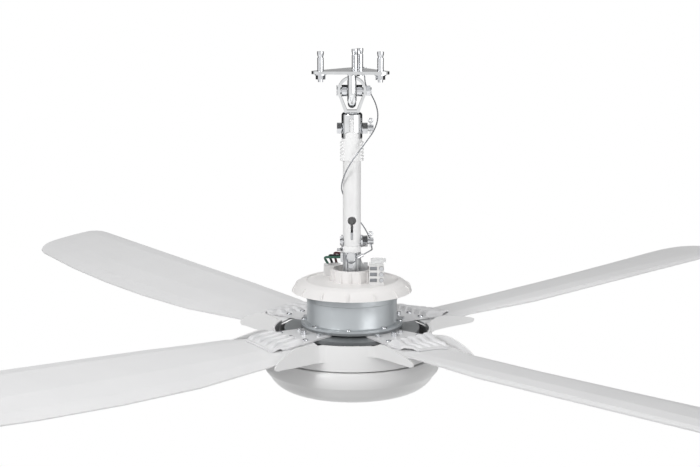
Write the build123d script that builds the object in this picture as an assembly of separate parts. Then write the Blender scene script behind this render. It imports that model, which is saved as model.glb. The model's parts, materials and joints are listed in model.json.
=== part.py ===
from build123d import *
from math import atan2, cos, degrees, hypot, pi, radians, sin, tan
import os

os.makedirs("parts", exist_ok=True)

# A four-blade ceiling fan, in millimetres. The origin is the middle of the ceiling plate's
# top face, which lies against the ceiling. +Z is up, +X is to the right of the front view
# and the front faces -Y. Heights are drops below the ceiling, counted as positive values.

# Clearances
slip = 0.05
seat_gap = 0.3
cut_overrun = 5.0
air_gap = 0.6

# Blades
sweep_radius = 700.0
first_blade_azimuth = 41.0
BLADE_SIDES = ("back_right", "back_left", "front_left", "front_right")
BLADE_STEP = 360.0 / len(BLADE_SIDES)

# Ceiling plate and anchors
plate_height = 3.5
plate_sheet = 2.2
plate_rim = 2.0
plate_corner_radius = 10.7
anchor_circle_radius = 41.0
anchor_count = 3
anchor_azimuth = 85.0
anchor_stud_radius = 3.0
anchor_sleeve_radius = 3.8
anchor_height = 23.0
anchor_slot = 1.2
anchor_slot_height = 13.0
anchor_cone_height = 4.0
anchor_cone_radius = 4.0
anchor_cone_land = 3.0
anchor_tail = 9.5
anchor_nut_flats = 10.0
anchor_nut_height = 5.0
anchor_washer_radius = 7.0
anchor_washer_height = 1.4
safety_anchor_x = 10.0
safety_anchor_y = 58.0

# Hook, roller and axle
hook_rod_radius = 5.0
hook_bend_radius = 15.9
hook_weld = 1.8
axle_drop = 24.5
roller_width = 11.0
roller_radius = 12.4
roller_gap = 0.3
axle_radius = 4.0
axle_spacer_radius = 7.0
axle_nut_flats = 11.5
axle_nut_height = 4.8
axle_head_height = 1.2
axle_head_radius = 6.5
axle_tip = 1.6

# Shackle
strap_thickness = 3.0
strap_half_depth = 8.0
strap_ring_radius = 17.2
strap_neck_half_width = 8.8
strap_neck_drop = 47.5
cup_top_drop = 50.0
cup_radius = 12.6
cup_wall = 1.55
cup_shoulder = 4.0
cup_roof = 3.0
cheek_drop = 81.0
cheek_half_gap = 8.6
arch_drop = 72.6
cup_slot_half_width = 3.3
cup_slot_top_drop = 57.0

# Down pipe
pipe_radius = 10.85
pipe_wall = 2.0
pipe_top_drop = 54.0
pipe_bottom_drop = 212.0
keyhole_radius = 5.25
keyhole_drop = 181.0
keyhole_slot = 3.0
keyhole_slot_drop = 203.0

# Ribbed sleeve
sleeve_wall = 1.5
sleeve_bottom_drop = 108.0
sleeve_gap = 1.0
rib_count = 6
rib_pitch = 4.1
rib_thickness = 1.9
rib_first_drop = 87.0
rib_reach = 1.9
rib_half_width = 7.5

# Pipe bolts
bolt_radius = 4.0
bolt_flats = 12.5
bolt_head_height = 5.4
nut_height = 6.2
nut_slot = 1.8
nut_slot_height = 2.0
bolt_tip = 7.2
upper_bolt_drop = 69.5
lower_bolt_drop = 207.5
boss_radius = 7.6
boss_height = 3.4
boss_crown_radius = 5.3
washer_height = 1.8
cotter_radius = 0.9
cotter_length = 14.0
cotter_eye_radius = 2.2
grub_radius = 1.7
grub_length = 9.5
grub_drop = 218.0
grub_nut_flats = 4.4
grub_nut_height = 2.6

# Shaft and its block
shaft_radius = 8.4
shaft_bore = 4.5
shaft_top_drop = 196.0
shaft_bottom_drop = 327.0
coupler_radius = 11.0
coupler_height = 8.0
block_radius = 9.6
block_rib_reach = 1.7
block_rib_width = 2.0
block_rib_count = 10
gusset_reach = 17.0
gusset_width = 4.0
gusset_top_drop = 226.5
gusset_foot_drop = 242.0
lug_x = -1.0
lug_drop = 223.4
lug_radius = 3.0
lug_reach = 17.6
lug_lip = 1.2
lug_lip_radius = 5.0
jack_x = 16.8
jack_half_width = 2.6
jack_top_drop = 234.5
outlet_azimuth = 150.0
outlet_reach = 12.6
outlet_width = 12.0
outlet_top_drop = 222.0
outlet_bottom_drop = 233.5
block_screw_radius = 1.7
block_screw_drop = 236.4

# Top cover
cover_rim_radius = 73.4
cover_rim_drop = 268.0
cover_ridge_radius = 57.7
cover_ridge_drop = 254.4
cover_ridge_step = 1.5
cover_ridge_width = 3.4
cover_shoulder_radius = 67.5
cover_shoulder_drop = 259.4
cover_wall = 2.0
collar_radius = 25.0
collar_top_drop = 241.0
collar_wall = 2.2
notch_count = 14
notch_azimuth = 266.3
notch_width = 4.2
notch_reach = 1.3
collar_rib_width = 1.6
collar_rib_reach = 1.2

# Terminal block, lead box and leads
terminal_x = 29.6
terminal_y = -25.0
terminal_width = 18.0
terminal_depth = 12.0
terminal_height = 24.0
terminal_poles = 3
terminal_slot_height = 4.6
terminal_slot_depth = 5.0
terminal_slot_width = 8.6
terminal_slot_offset = 3.6
terminal_foot = 2.2
terminal_screw_radius = 2.6
terminal_screw_length = 4.0
flap_thickness = 1.2
flap_length = 12.0
flap_pin_radius = 0.9
flap_open_angle = 40.0
flap_overhang = 4.5
lead_box_x = -24.5
lead_box_y = 30.5
lead_box_width = 21.0
lead_box_depth = 14.0
lead_box_height = 13.5
lead_box_corner = 1.5
lead_radius = 1.5
lead_gland_radius = 2.5
lead_gland_height = 1.6
lead_spacing = 3.6
lead_exit_drop = 228.0
lead_drop_step = 1.5
lead_straight = 14.0
lead_rise = 15.0
corner_share = 0.45
LEAD_COLOURS = ("green", "black", "brown")

# Motor
motor_radius = 55.2
motor_wall = 2.6
motor_top_drop = 264.0
motor_seam_drop = 278.5
motor_seam_gap = 0.4
cap_lip = 0.6
flange_radius = 62.5
flange_top_drop = 306.0
flange_split_drop = 308.8
flange_bottom_drop = 311.6
motor_fillet = 1.6
base_radius = 52.0
foot_radius = 83.0
base_bottom_drop = 317.0
motor_corner = 4.0
motor_shaft_gap = 1.5
bearing_radius = 16.0
bearing_width = 9.0
bearing_wall = 2.4
magnet_thickness = 4.0
magnet_top_drop = 279.5
magnet_bottom_drop = 303.0
stator_top_drop = 281.5
stator_bottom_drop = 301.0
stator_hub_radius = 20.0
stator_yoke = 5.0
stator_tooth_count = 12
stator_tooth_width = 6.0
stator_shoe = 3.0
stator_shoe_width = 15.0
coil_wall = 2.6
coil_gap = 0.3
board_thickness = 1.6
board_outer_radius = 47.0
board_inner_radius = 20.0
board_chip = 9.0
board_chip_height = 1.6
motor_screw_count = 8
motor_screw_circle_radius = 59.0
motor_screw_azimuth = 266.0
screw_radius = 1.9
screw_head_radius = 2.9
screw_head_height = 1.8

# Blade irons and blades
arm_reach = 84.0
arm_width = 50.0
arm_thickness = 4.0
iron_sheet = 2.0
iron_flat_reach = 101.0
iron_reaches = (53.0, 84.0, 101.0, 112.0, 123.0, 134.0, 145.0)
iron_half_widths = (24.0, 30.0, 32.5, 32.5, 32.5, 28.5, 23.0)
iron_rises = (0.0, 0.0, 3.2, 3.2, 3.2, 2.4, 0.0)
iron_sways = (0.0, 0.0, 0.0, 1.4, 0.0, -1.4, 0.0)
iron_rib_count = 6
iron_bolt_reach = 77.0
blade_screw_reach = 93.5
blade_screw_offset = 24.0
blade_thickness = 2.8
blade_root_reach = 86.0
blade_shoulder_reach = 158.0
blade_pad_half_width = 34.0
blade_crown_root = 6.0
blade_crown_mid = 8.0
blade_crown_tip = 4.0
tip_lead_radius = 22.0
tip_trail_radius = 34.0
blade_iron_gap = 0.4
blade_free_reach = 170.0
edge_root_reach = 100.0
lead_offsets = (-52.6, -61.4, -70.3)
lead_drops = (318.6, 306.3, 293.9)
trail_offsets = (43.5, 64.1, 49.4)
trail_drops = (327.0, 326.3, 307.2)
pad_slope_share = 0.5
wing_clearance = 3.0
rib_flank_share = 0.2
rib_crest_share = 0.3
iron_bolt_back = 9.0
iron_bolt_offset = 18.0
post_radius = 2.4
post_head_radius = 3.6
iron_bolt_flats = 5.5
post_height = 5.0
screw_tail = 1.2
blade_screw_head_radius = 3.4

# Skirt, mounting pan and dome
skirt_top_radius = 97.0
skirt_bottom_radius = 101.0
skirt_top_drop = 315.2
skirt_bottom_drop = 345.0
skirt_bulge = 0.8
skirt_wall = 2.2
skirt_ledge = 3.0
skirt_ledge_height = 1.6
opening_floor_drop = 322.0
wing_root_offset = 45.0
wing_root_reach = 87.0
wing_tip_offset = 50.0
wing_tip_reach = 163.5
wing_thickness = 2.0
wing_inset = 3.0
wing_lean_angle = 7.6
wing_flare = 8.0
lead_wing_reaches = (
    87.0, 96.0, 104.0, 113.0, 128.0, 145.0, 153.0, 160.0, 163.5, 161.5, 157.0, 136.0, 115.0, 100.0,
    87.0,
)
lead_wing_drops = (
    315.2, 312.3, 309.9, 309.9, 312.4, 315.4, 317.2, 319.0, 321.6, 324.2, 325.2, 325.4, 325.6, 326.3,
    327.3,
)
trail_wing_reaches = (
    87.0, 102.0, 117.0, 129.0, 137.0, 146.5, 153.0, 158.0, 160.5, 159.0, 154.0, 138.0, 105.0, 87.0,
)
trail_wing_drops = (
    315.2, 313.2, 311.4, 312.8, 315.4, 319.0, 322.5, 326.2, 329.8, 332.2, 333.0, 333.6, 334.5, 335.0,
)
pan_drop = 338.5
pan_thickness = 1.6
pan_post_radius = 5.0
pan_post_circle_radius = 40.0
pan_screw_length = 8.0
dome_gap = 1.4
dome_lip_radius = 95.0
dome_lug_radius = 98.3
dome_rim_radius = 104.0
dome_bulge_radius = 107.6
dome_bulge_drop = 355.0
dome_break_radius = 101.0
dome_break_drop = 372.0
dome_turn_radius = 79.0
dome_turn_drop = 387.8
dome_bottom_drop = 395.2
dome_side_drop = 365.0
dome_side_share = 0.85
dome_belly = 2.2
dome_lug_count = 3
dome_lug_half_width = 7.0
dome_lug_height = 1.4
dome_wall = 2.2

# Safety wire, 1.5 mm steel rope
wire_radius = 0.75
wire_loop_radius = 6.2
wire_eye_thickness = 1.2
wire_eye_radius = 6.0
ferrule_radius = 2.2
wire_tab_x = 5.6
wire_tab_y = 7.4
ferrule_start_x = 6.4
ferrule_start_drop = 225.6
ferrule_end = (13.3, -12.6, -222.2)

# The wire hangs from the anchor, crosses in front of the sleeve, passes behind the pipe and
# the lower nut, and comes back to the lug in front.
wire_route = [
    (15.6, 50.6, -9.5),
    (15.6, 50.6, -20.0),
    (22.5, 41.0, -30.0),
    (30.0, 25.5, -44.0),
    (32.0, 8.0, -58.0),
    (27.0, -8.5, -71.5),
    (16.5, -17.0, -85.0),
    (6.5, -19.5, -98.0),
    (-3.5, -18.0, -112.5),
    (-10.0, -13.5, -127.0),
    (-14.2, -5.5, -141.0),
    (-13.9, 5.5, -154.0),
    (-7.0, 13.6, -167.0),
    (4.5, 16.4, -179.5),
    (15.5, 14.6, -193.0),
    (22.5, 12.6, -207.5),
    (24.9, 3.2, -218.6),
    (23.995, -8.415, -216.93),
    ferrule_end,
]


def save(name, shape):
    """Write one sub-part."""
    export_step(shape, "parts/" + name + ".step")


def group(solids):
    """Several separate solids that share one file."""
    return Compound(children=list(solids))


def disc(radius, top_drop, bottom_drop):
    """A round disc about the fan's axis."""
    return Pos(0, 0, -bottom_drop) * extrude(Circle(radius), bottom_drop - top_drop)


def ring(outer, inner, top_drop, bottom_drop):
    """A flat ring about the fan's axis."""
    return Pos(0, 0, -bottom_drop) * extrude(Circle(outer) - Circle(inner), bottom_drop - top_drop)


def turned(points):
    """A solid of revolution from a closed outline of (radius, drop) points."""
    outline = Plane.XZ * Polygon(*[(radius, -drop) for radius, drop in points], align=None)
    return revolve(outline, Axis.Z)


def rod(start, end, radius):
    """A round bar between two points."""
    direction = Vector(*end) - Vector(*start)
    plane = Plane(origin=start, z_dir=direction)
    return plane * extrude(Circle(radius), direction.length)


def across(profile, x_from, x_to, drop, y=0.0):
    """A profile extruded along X, centred on one drop."""
    plane = Plane(origin=(x_from, y, -drop), x_dir=(0, 1, 0), z_dir=(1, 0, 0))
    return plane * extrude(profile, x_to - x_from)


def hexagon(flats):
    """A hexagon by its size across the flats."""
    return RegularPolygon(flats / 2, 6, major_radius=False)


def block(x_from, x_to, y_from, y_to, top_drop, bottom_drop):
    """A box by its faces."""
    size = (x_to - x_from, y_to - y_from, bottom_drop - top_drop)
    middle = ((x_from + x_to) / 2, (y_from + y_to) / 2, -(top_drop + bottom_drop) / 2)
    return Pos(*middle) * Box(*size)


def turn(azimuth):
    """A turn about the fan's axis."""
    return Rot(0, 0, azimuth)


# Ceiling end

anchor_places = [
    (
        anchor_circle_radius * cos(radians(anchor_azimuth + 360 * index / anchor_count)),
        anchor_circle_radius * sin(radians(anchor_azimuth + 360 * index / anchor_count)),
        plate_height,
    )
    for index in range(anchor_count)
]
anchor_places.append((safety_anchor_x, safety_anchor_y, wire_eye_thickness))


def make_ceiling_plate():
    """A pressed triangular plate with a turned-down rim."""
    triangle = Polygon(*[(x, y) for x, y, seat in anchor_places[:anchor_count]], align=None)
    outline = offset(triangle, amount=plate_corner_radius, kind=Kind.ARC)
    inside = offset(triangle, amount=plate_corner_radius - plate_rim, kind=Kind.ARC)
    plate = Pos(0, 0, -plate_height) * extrude(outline, plate_height)
    plate -= Pos(0, 0, -plate_height - cut_overrun) * extrude(
        inside, plate_height - plate_sheet + cut_overrun
    )
    for x, y, seat in anchor_places[:anchor_count]:
        pad = Circle(anchor_washer_radius + plate_rim / 2)
        plate += Pos(x, y, -plate_height) * extrude(pad, plate_height)
    for x, y, seat in anchor_places[:anchor_count]:
        hole = Circle(anchor_cone_radius + slip)
        plate -= Pos(x, y, -plate_height - cut_overrun) * extrude(hole, plate_height + 2 * cut_overrun)
    for side in (-1, 1):
        hole = Circle(hook_rod_radius + slip)
        plate -= Pos(0, side * hook_bend_radius, -plate_height - cut_overrun) * extrude(
            hole, plate_height + 2 * cut_overrun
        )
    return plate


def make_anchors():
    """Sleeve anchors: threaded studs, split sleeves, washers and nuts."""
    studs = []
    sleeves = []
    washers = []
    nuts = []
    for x, y, seat in anchor_places:
        place = Pos(x, y, 0)
        stud_low = seat + anchor_tail
        stud = Pos(0, 0, -stud_low) * extrude(Circle(anchor_stud_radius), stud_low + anchor_height)
        land_low = anchor_height - anchor_cone_land
        cone_low = land_low - anchor_cone_height
        cone = Pos(0, 0, cone_low) * loft(
            [Circle(anchor_stud_radius), Pos(0, 0, anchor_cone_height) * Circle(anchor_cone_radius)]
        )
        land = Pos(0, 0, land_low) * extrude(Circle(anchor_cone_radius), anchor_cone_land)
        studs.append(place * (stud + cone + land))
        sleeve_low = -seat
        sleeve_high = cone_low - seat_gap
        sleeve = Pos(0, 0, sleeve_low) * extrude(
            Circle(anchor_sleeve_radius) - Circle(anchor_stud_radius + slip), sleeve_high - sleeve_low
        )
        slot = Pos(0, 0, sleeve_high - anchor_slot_height / 2 + cut_overrun / 2) * Box(
            anchor_slot, 2 * anchor_sleeve_radius + cut_overrun, anchor_slot_height + cut_overrun
        )
        sleeves.append(place * (sleeve - slot))
        washer_low = seat + anchor_washer_height
        washer = Circle(anchor_washer_radius) - Circle(anchor_stud_radius + slip)
        washers.append(place * Pos(0, 0, -washer_low) * extrude(washer, anchor_washer_height))
        nut = hexagon(anchor_nut_flats) - Circle(anchor_stud_radius + slip)
        nut_low = washer_low + anchor_nut_height
        nuts.append(place * Pos(0, 0, -nut_low) * extrude(nut, anchor_nut_height))
    return group(studs), group(sleeves), group(washers), group(nuts)


def make_hook():
    """A round bar bent to a U in the front-to-back plane, welded into the plate."""
    section = Pos(0, hook_bend_radius, -axle_drop) * Circle(hook_rod_radius)
    bend = revolve(section, Axis((0, 0, -axle_drop), (-1, 0, 0)), 180)
    hook = bend
    for side in (-1, 1):
        leg = Pos(0, side * hook_bend_radius, -axle_drop) * extrude(Circle(hook_rod_radius), axle_drop)
        bead = Pos(0, side * hook_bend_radius, -plate_height - hook_weld) * loft(
            [
                Circle(hook_rod_radius + slip),
                Pos(0, 0, hook_weld) * Circle(hook_rod_radius + hook_weld),
            ]
        )
        hook += leg
        hook += bead
    return hook


# Hanger: roller, shackle and pipe

ring_inner_radius = strap_ring_radius - strap_thickness


def make_roller():
    """A grooved rubber roller that rides on the hook."""
    wheel = across(Circle(roller_radius), -roller_width / 2, roller_width / 2, axle_drop)
    wheel = chamfer(wheel.edges().filter_by(GeomType.CIRCLE), roller_gap)
    groove = Pos(0, hook_bend_radius, -axle_drop) * Circle(hook_rod_radius + roller_gap)
    wheel -= revolve(groove, Axis((0, 0, -axle_drop), (1, 0, 0)), 360)
    wheel -= across(Circle(axle_radius + slip), -roller_width, roller_width, axle_drop)
    return wheel


def make_axle():
    """The roller's bolt, its two spacers and its slotted nut."""
    bolt = across(
        Circle(axle_radius),
        -strap_ring_radius,
        strap_ring_radius + axle_nut_height + axle_tip,
        axle_drop,
    )
    bolt += across(
        Circle(axle_head_radius), -strap_ring_radius - axle_head_height, -strap_ring_radius, axle_drop
    )
    spacers = []
    reach = sqrt_leg(ring_inner_radius, axle_spacer_radius)
    for side in (-1, 1):
        sleeve = Circle(axle_spacer_radius) - Circle(axle_radius + slip)
        near = side * roller_width / 2
        far = side * reach
        spacers.append(across(sleeve, min(near, far), max(near, far), axle_drop))
    nut = across(
        hexagon(axle_nut_flats) - Circle(axle_radius + slip),
        strap_ring_radius,
        strap_ring_radius + axle_nut_height,
        axle_drop,
    )
    return bolt, group(spacers), nut


def sqrt_leg(hypotenuse, leg):
    """The other leg of a right triangle."""
    return (hypotenuse**2 - leg**2) ** 0.5


def bulb(radius, neck_half_width, neck_drop):
    """A circle about the axle that narrows to a neck below it."""
    waist = Polygon(
        (-radius * cos(pi / 6), -axle_drop - radius / 2),
        (radius * cos(pi / 6), -axle_drop - radius / 2),
        (neck_half_width, -neck_drop),
        (-neck_half_width, -neck_drop),
        align=None,
    )
    return Pos(0, -axle_drop) * Circle(radius) + waist


def arch(half_width, top_drop, bottom_drop):
    """The saddle-shaped cut in the cup's front and back, seen from the front."""
    spring_drop = top_drop + half_width / 2
    shape = Pos(0, -spring_drop) * Rectangle(
        2 * half_width, bottom_drop - spring_drop, align=(Align.CENTER, Align.MAX)
    )
    return shape + Pos(0, -spring_drop) * Ellipse(half_width, half_width / 2)


def make_shackle():
    """A strap bent round the roller, over a split cup that clamps the pipe's top."""
    strap_face = bulb(strap_ring_radius, strap_neck_half_width, strap_neck_drop + cup_roof)
    hollow = bulb(ring_inner_radius, strap_neck_half_width - strap_thickness, strap_neck_drop)
    strap = Plane.XZ * extrude(strap_face - hollow, strap_half_depth, both=True)
    inner = cup_radius - cup_wall
    shoulder_drop = cup_top_drop + cup_shoulder
    arc_share = cos(pi / 4)
    corner = (
        cup_radius - cup_shoulder * (1 - arc_share),
        -cup_top_drop - cup_shoulder * (1 - arc_share),
    )
    roof_drop = cup_top_drop + cup_roof
    outline = Polyline(
        (0, -cup_top_drop),
        (0, -roof_drop),
        (inner, -roof_drop),
        (inner, -cheek_drop),
        (cup_radius, -cheek_drop),
        (cup_radius, -shoulder_drop),
    )
    outline += ThreePointArc(
        (cup_radius, -shoulder_drop), corner, (cup_radius - cup_shoulder, -cup_top_drop)
    )
    outline += Line((cup_radius - cup_shoulder, -cup_top_drop), (0, -cup_top_drop))
    cup = revolve(Plane.XZ * make_face(outline), Axis.Z)
    slot = Pos(0, -arch_drop - cheek_half_gap / 2) * Rectangle(
        2 * cup_slot_half_width,
        arch_drop + cheek_half_gap / 2 - cup_slot_top_drop,
        align=(Align.CENTER, Align.MIN),
    )
    cut = arch(cheek_half_gap, arch_drop, cheek_drop + cut_overrun) + slot
    cup -= Plane.XZ * extrude(cut, 2 * cup_radius, both=True)
    cup -= across(Circle(bolt_radius + slip), -2 * cup_radius, 2 * cup_radius, upper_bolt_drop)
    shackle = strap + cup
    shackle -= across(
        Circle(axle_radius + slip), -2 * strap_ring_radius, 2 * strap_ring_radius, axle_drop
    )
    return shackle


def make_pipe():
    """The down pipe, with its bolt holes and the keyhole for the leads."""
    pipe = ring(pipe_radius, pipe_radius - pipe_wall, pipe_top_drop, pipe_bottom_drop)
    for drop in (upper_bolt_drop, lower_bolt_drop):
        pipe -= across(Circle(bolt_radius + slip), -2 * pipe_radius, 2 * pipe_radius, drop)
    keyhole = Pos(0, -keyhole_drop) * Circle(keyhole_radius)
    keyhole += Pos(0, -keyhole_drop) * Rectangle(
        keyhole_slot, keyhole_slot_drop - keyhole_drop, align=(Align.CENTER, Align.MAX)
    )
    keyhole += Pos(0, -keyhole_slot_drop) * Circle(keyhole_slot / 2)
    pipe -= Plane.XZ * extrude(keyhole, 2 * pipe_radius)
    return pipe


def make_sleeve():
    """A plastic sleeve with grip ribs on its left and right sides."""
    inner = pipe_radius + slip
    outer = inner + sleeve_wall
    lower_top = cheek_drop + sleeve_gap
    sleeve = ring(outer, inner, lower_top, sleeve_bottom_drop)
    tongue = ring(outer, inner, arch_drop, lower_top)
    profile = arch(cheek_half_gap - sleeve_gap / 2, arch_drop + sleeve_gap / 2, lower_top)
    sleeve += tongue & Plane.XZ * extrude(profile, 2 * outer, both=True)
    for index in range(rib_count):
        drop = rib_first_drop + index * rib_pitch
        rib = ring(outer + rib_reach, inner, drop - rib_thickness / 2, drop + rib_thickness / 2)
        rib &= block(
            -2 * outer, 2 * outer, -rib_half_width, rib_half_width, drop - rib_pitch, drop + rib_pitch
        )
        sleeve += rib
    return sleeve


def slotted_nut(x_from, drop):
    """A castle nut on a cross bolt."""
    nut = across(hexagon(bolt_flats) - Circle(bolt_radius + slip), x_from, x_from + nut_height, drop)
    slots = across(
        Rectangle(nut_slot, 2 * bolt_flats), x_from + nut_height - nut_slot_height,
        x_from + nut_height + cut_overrun, drop,
    )
    return nut - slots


def cotter(x, drop):
    """A split pin through a bolt's tip, with its eye on top."""
    low = (x, 0, -drop - cotter_length / 2)
    high = (x, 0, -drop + cotter_length / 2)
    eye = Pos(x, 0, -drop + cotter_length / 2 + cotter_eye_radius) * Rot(90, 0, 0)
    return rod(low, high, cotter_radius) + eye * Torus(cotter_eye_radius, cotter_radius)


def make_upper_bolt():
    """The bolt through the shackle's cheeks and the pipe, with its nut and split pin."""
    nut_from = cup_radius
    tip = nut_from + nut_height + bolt_tip
    pin_x = nut_from + nut_height + bolt_tip / 2
    bolt = across(Circle(bolt_radius), -cup_radius, tip, upper_bolt_drop)
    bolt += across(hexagon(bolt_flats), -cup_radius - bolt_head_height, -cup_radius, upper_bolt_drop)
    bolt -= rod(
        (pin_x, 0, -upper_bolt_drop - bolt_flats),
        (pin_x, 0, -upper_bolt_drop + bolt_flats),
        cotter_radius + slip,
    )
    return bolt, slotted_nut(nut_from, upper_bolt_drop), cotter(pin_x, upper_bolt_drop)


def make_lower_bolt():
    """The round-headed bolt through the pipe and the shaft, with its washer, nut and split pin."""
    washer_from = pipe_radius + seat_gap
    nut_from = washer_from + washer_height
    tip = nut_from + nut_height + bolt_tip
    pin_x = nut_from + nut_height + bolt_tip / 2
    head_to = -pipe_radius - seat_gap
    bolt = across(Circle(bolt_radius), head_to, tip, lower_bolt_drop)
    bolt += across(Circle(boss_radius), head_to - boss_height / 2, head_to, lower_bolt_drop)
    bolt += across(Circle(boss_crown_radius), head_to - boss_height, head_to, lower_bolt_drop)
    bolt -= rod(
        (pin_x, 0, -lower_bolt_drop - bolt_flats),
        (pin_x, 0, -lower_bolt_drop + bolt_flats),
        cotter_radius + slip,
    )
    washer = across(
        Circle(boss_radius) - Circle(bolt_radius + slip), washer_from, nut_from, lower_bolt_drop
    )
    return bolt, washer, slotted_nut(nut_from, lower_bolt_drop), cotter(pin_x, lower_bolt_drop)


# Shaft, block and coupler

block_top_drop = pipe_bottom_drop + seat_gap + coupler_height
cover_floor_drop = cover_ridge_drop + cover_ridge_step


def make_shaft():
    """The hollow shaft that stays still while the motor turns round it."""
    shaft = ring(shaft_radius, shaft_bore, shaft_top_drop, shaft_bottom_drop)
    shaft -= across(Circle(bolt_radius + slip), -2 * shaft_radius, 2 * shaft_radius, lower_bolt_drop)
    return shaft


def make_coupler():
    """The white ring under the pipe that carries the locking screw."""
    coupler = ring(coupler_radius, shaft_radius + slip, pipe_bottom_drop + seat_gap, block_top_drop)
    coupler = chamfer(coupler.edges().group_by(Axis.Z)[-1], sleeve_gap / 2)
    coupler -= across(Circle(grub_radius + slip), -2 * coupler_radius, 0, grub_drop)
    return coupler


def make_grub_screw():
    """The locking screw and its nut, on the coupler's left side."""
    tip = -shaft_radius - seat_gap
    seat = -coupler_radius - seat_gap
    screw = across(Circle(grub_radius), tip - grub_length, tip, grub_drop)
    screw += across(hexagon(grub_nut_flats), seat - grub_nut_height, seat, grub_drop)
    return screw


def make_shaft_block():
    """The ribbed casting that clamps the shaft above the cover, with the safety wire's lug."""
    casting = ring(block_radius, shaft_radius + slip, block_top_drop, cover_floor_drop)
    for index in range(block_rib_count):
        rib = block(
            shaft_radius + slip + sleeve_gap / 2, block_radius + block_rib_reach,
            -block_rib_width / 2, block_rib_width / 2, block_top_drop, cover_floor_drop,
        )
        casting += turn(360 * (index + 0.5) / block_rib_count) * rib
    web = Plane.XZ * Polygon(
        (block_radius - block_rib_width / 2, -gusset_top_drop),
        (gusset_reach, -gusset_foot_drop),
        (gusset_reach, -cover_floor_drop),
        (block_radius - block_rib_width / 2, -cover_floor_drop),
        align=None,
    )
    casting += extrude(web, gusset_width / 2, both=True)
    casting += block(
        jack_x - jack_half_width, jack_x + jack_half_width, -jack_half_width, jack_half_width,
        jack_top_drop, cover_floor_drop,
    )
    lug_tip = (lug_x, -lug_reach, -lug_drop)
    casting += rod((lug_x, -shaft_radius - seat_gap, -lug_drop), lug_tip, lug_radius)
    casting += rod((lug_x, -lug_reach + lug_lip, -lug_drop), lug_tip, lug_lip_radius)
    outlet = block(
        block_radius - block_rib_width, outlet_reach, -outlet_width / 2, outlet_width / 2,
        outlet_top_drop, outlet_bottom_drop,
    )
    casting += turn(outlet_azimuth) * outlet
    casting -= disc(shaft_radius + slip, block_top_drop - cut_overrun, cover_floor_drop + cut_overrun)
    casting -= rod(
        (lug_x, -block_radius - block_rib_reach - cut_overrun, -block_screw_drop),
        (lug_x, -shaft_radius - seat_gap, -block_screw_drop),
        block_screw_radius + slip,
    )
    return casting


def make_block_screw():
    """The small screw in the block's front."""
    seat = -block_radius - block_rib_reach - seat_gap
    under_head = (lug_x, seat, -block_screw_drop)
    tip = (lug_x, -shaft_radius - seat_gap, -block_screw_drop)
    crown = (lug_x, seat - screw_head_height, -block_screw_drop)
    return rod(under_head, tip, block_screw_radius) + rod(crown, under_head, screw_head_radius)


# Top cover and what it carries

def make_top_cover():
    """A turned plastic cover with a raised ridge, rim pads and a ribbed collar."""
    floor = cover_floor_drop
    under = floor + cover_wall
    ridge_inner = cover_ridge_radius - cover_ridge_width
    rim_inner = cover_rim_radius - cover_wall
    bore = shaft_radius + slip
    cover = turned([
        (bore, floor),
        (collar_radius - collar_wall, floor),
        (collar_radius - collar_wall, collar_top_drop),
        (collar_radius, collar_top_drop),
        (collar_radius + collar_rib_reach, floor),
        (ridge_inner, floor),
        (ridge_inner + cover_ridge_step, cover_ridge_drop),
        (cover_ridge_radius, cover_ridge_drop),
        (cover_shoulder_radius, cover_shoulder_drop),
        (cover_rim_radius, cover_rim_drop),
        (rim_inner, cover_rim_drop),
        (cover_shoulder_radius - cover_wall / 2, cover_shoulder_drop + cover_wall),
        (cover_ridge_radius, under),
        (bore, under),
    ])
    for index in range(notch_count):
        azimuth = notch_azimuth + 360 * index / notch_count
        pad = Plane.XZ * Polygon(
            (cover_shoulder_radius, -cover_shoulder_drop),
            (cover_rim_radius + notch_reach, -cover_rim_drop + 2 * notch_reach),
            (cover_rim_radius + notch_reach, -cover_rim_drop),
            (rim_inner + cover_wall / 2, -cover_rim_drop),
            (cover_shoulder_radius, -cover_shoulder_drop - cover_wall / 2),
            align=None,
        )
        cover += turn(azimuth) * extrude(pad, notch_width / 2, both=True)
        rib = block(
            collar_radius - collar_wall / 2, collar_radius + collar_rib_reach,
            -collar_rib_width / 2, collar_rib_width / 2, collar_top_drop + collar_rib_reach, floor,
        )
        cover += turn(azimuth) * rib
    return cover


terminal_front = terminal_y - terminal_depth / 2
terminal_back = terminal_y + terminal_depth / 2
terminal_left = terminal_x - terminal_width / 2
terminal_right = terminal_x + terminal_width / 2
terminal_top = cover_floor_drop - terminal_height
pole_pitch = (terminal_height - terminal_foot) / terminal_poles
pole_drops = [terminal_top + pole_pitch * (index + 0.5) for index in range(terminal_poles)]
flap_pin_drop = terminal_top - flap_pin_radius - seat_gap
terminal_screw_x = terminal_right - terminal_screw_radius - 2 * seat_gap


def make_terminal_block():
    """Three stacked poles, each with a wire slot and a screw well, and the flap's two ears."""
    body = block(
        terminal_left, terminal_right, terminal_front, terminal_back, terminal_top, cover_floor_drop
    )
    slot_x = terminal_x - terminal_slot_offset
    for drop in pole_drops:
        body -= block(
            slot_x - terminal_slot_width / 2, slot_x + terminal_slot_width / 2,
            terminal_front - cut_overrun, terminal_front + terminal_slot_depth,
            drop - terminal_slot_height / 2, drop + terminal_slot_height / 2,
        )
        body -= rod(
            (terminal_screw_x, terminal_front - cut_overrun, -drop),
            (terminal_screw_x, terminal_front + terminal_screw_length, -drop),
            terminal_screw_radius + seat_gap,
        )
    for x in (terminal_left, terminal_right - 2 * flap_pin_radius):
        body += block(
            x, x + 2 * flap_pin_radius, terminal_back - 2 * flap_pin_radius, terminal_back,
            flap_pin_drop - flap_pin_radius, terminal_top,
        )
    return body


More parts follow.
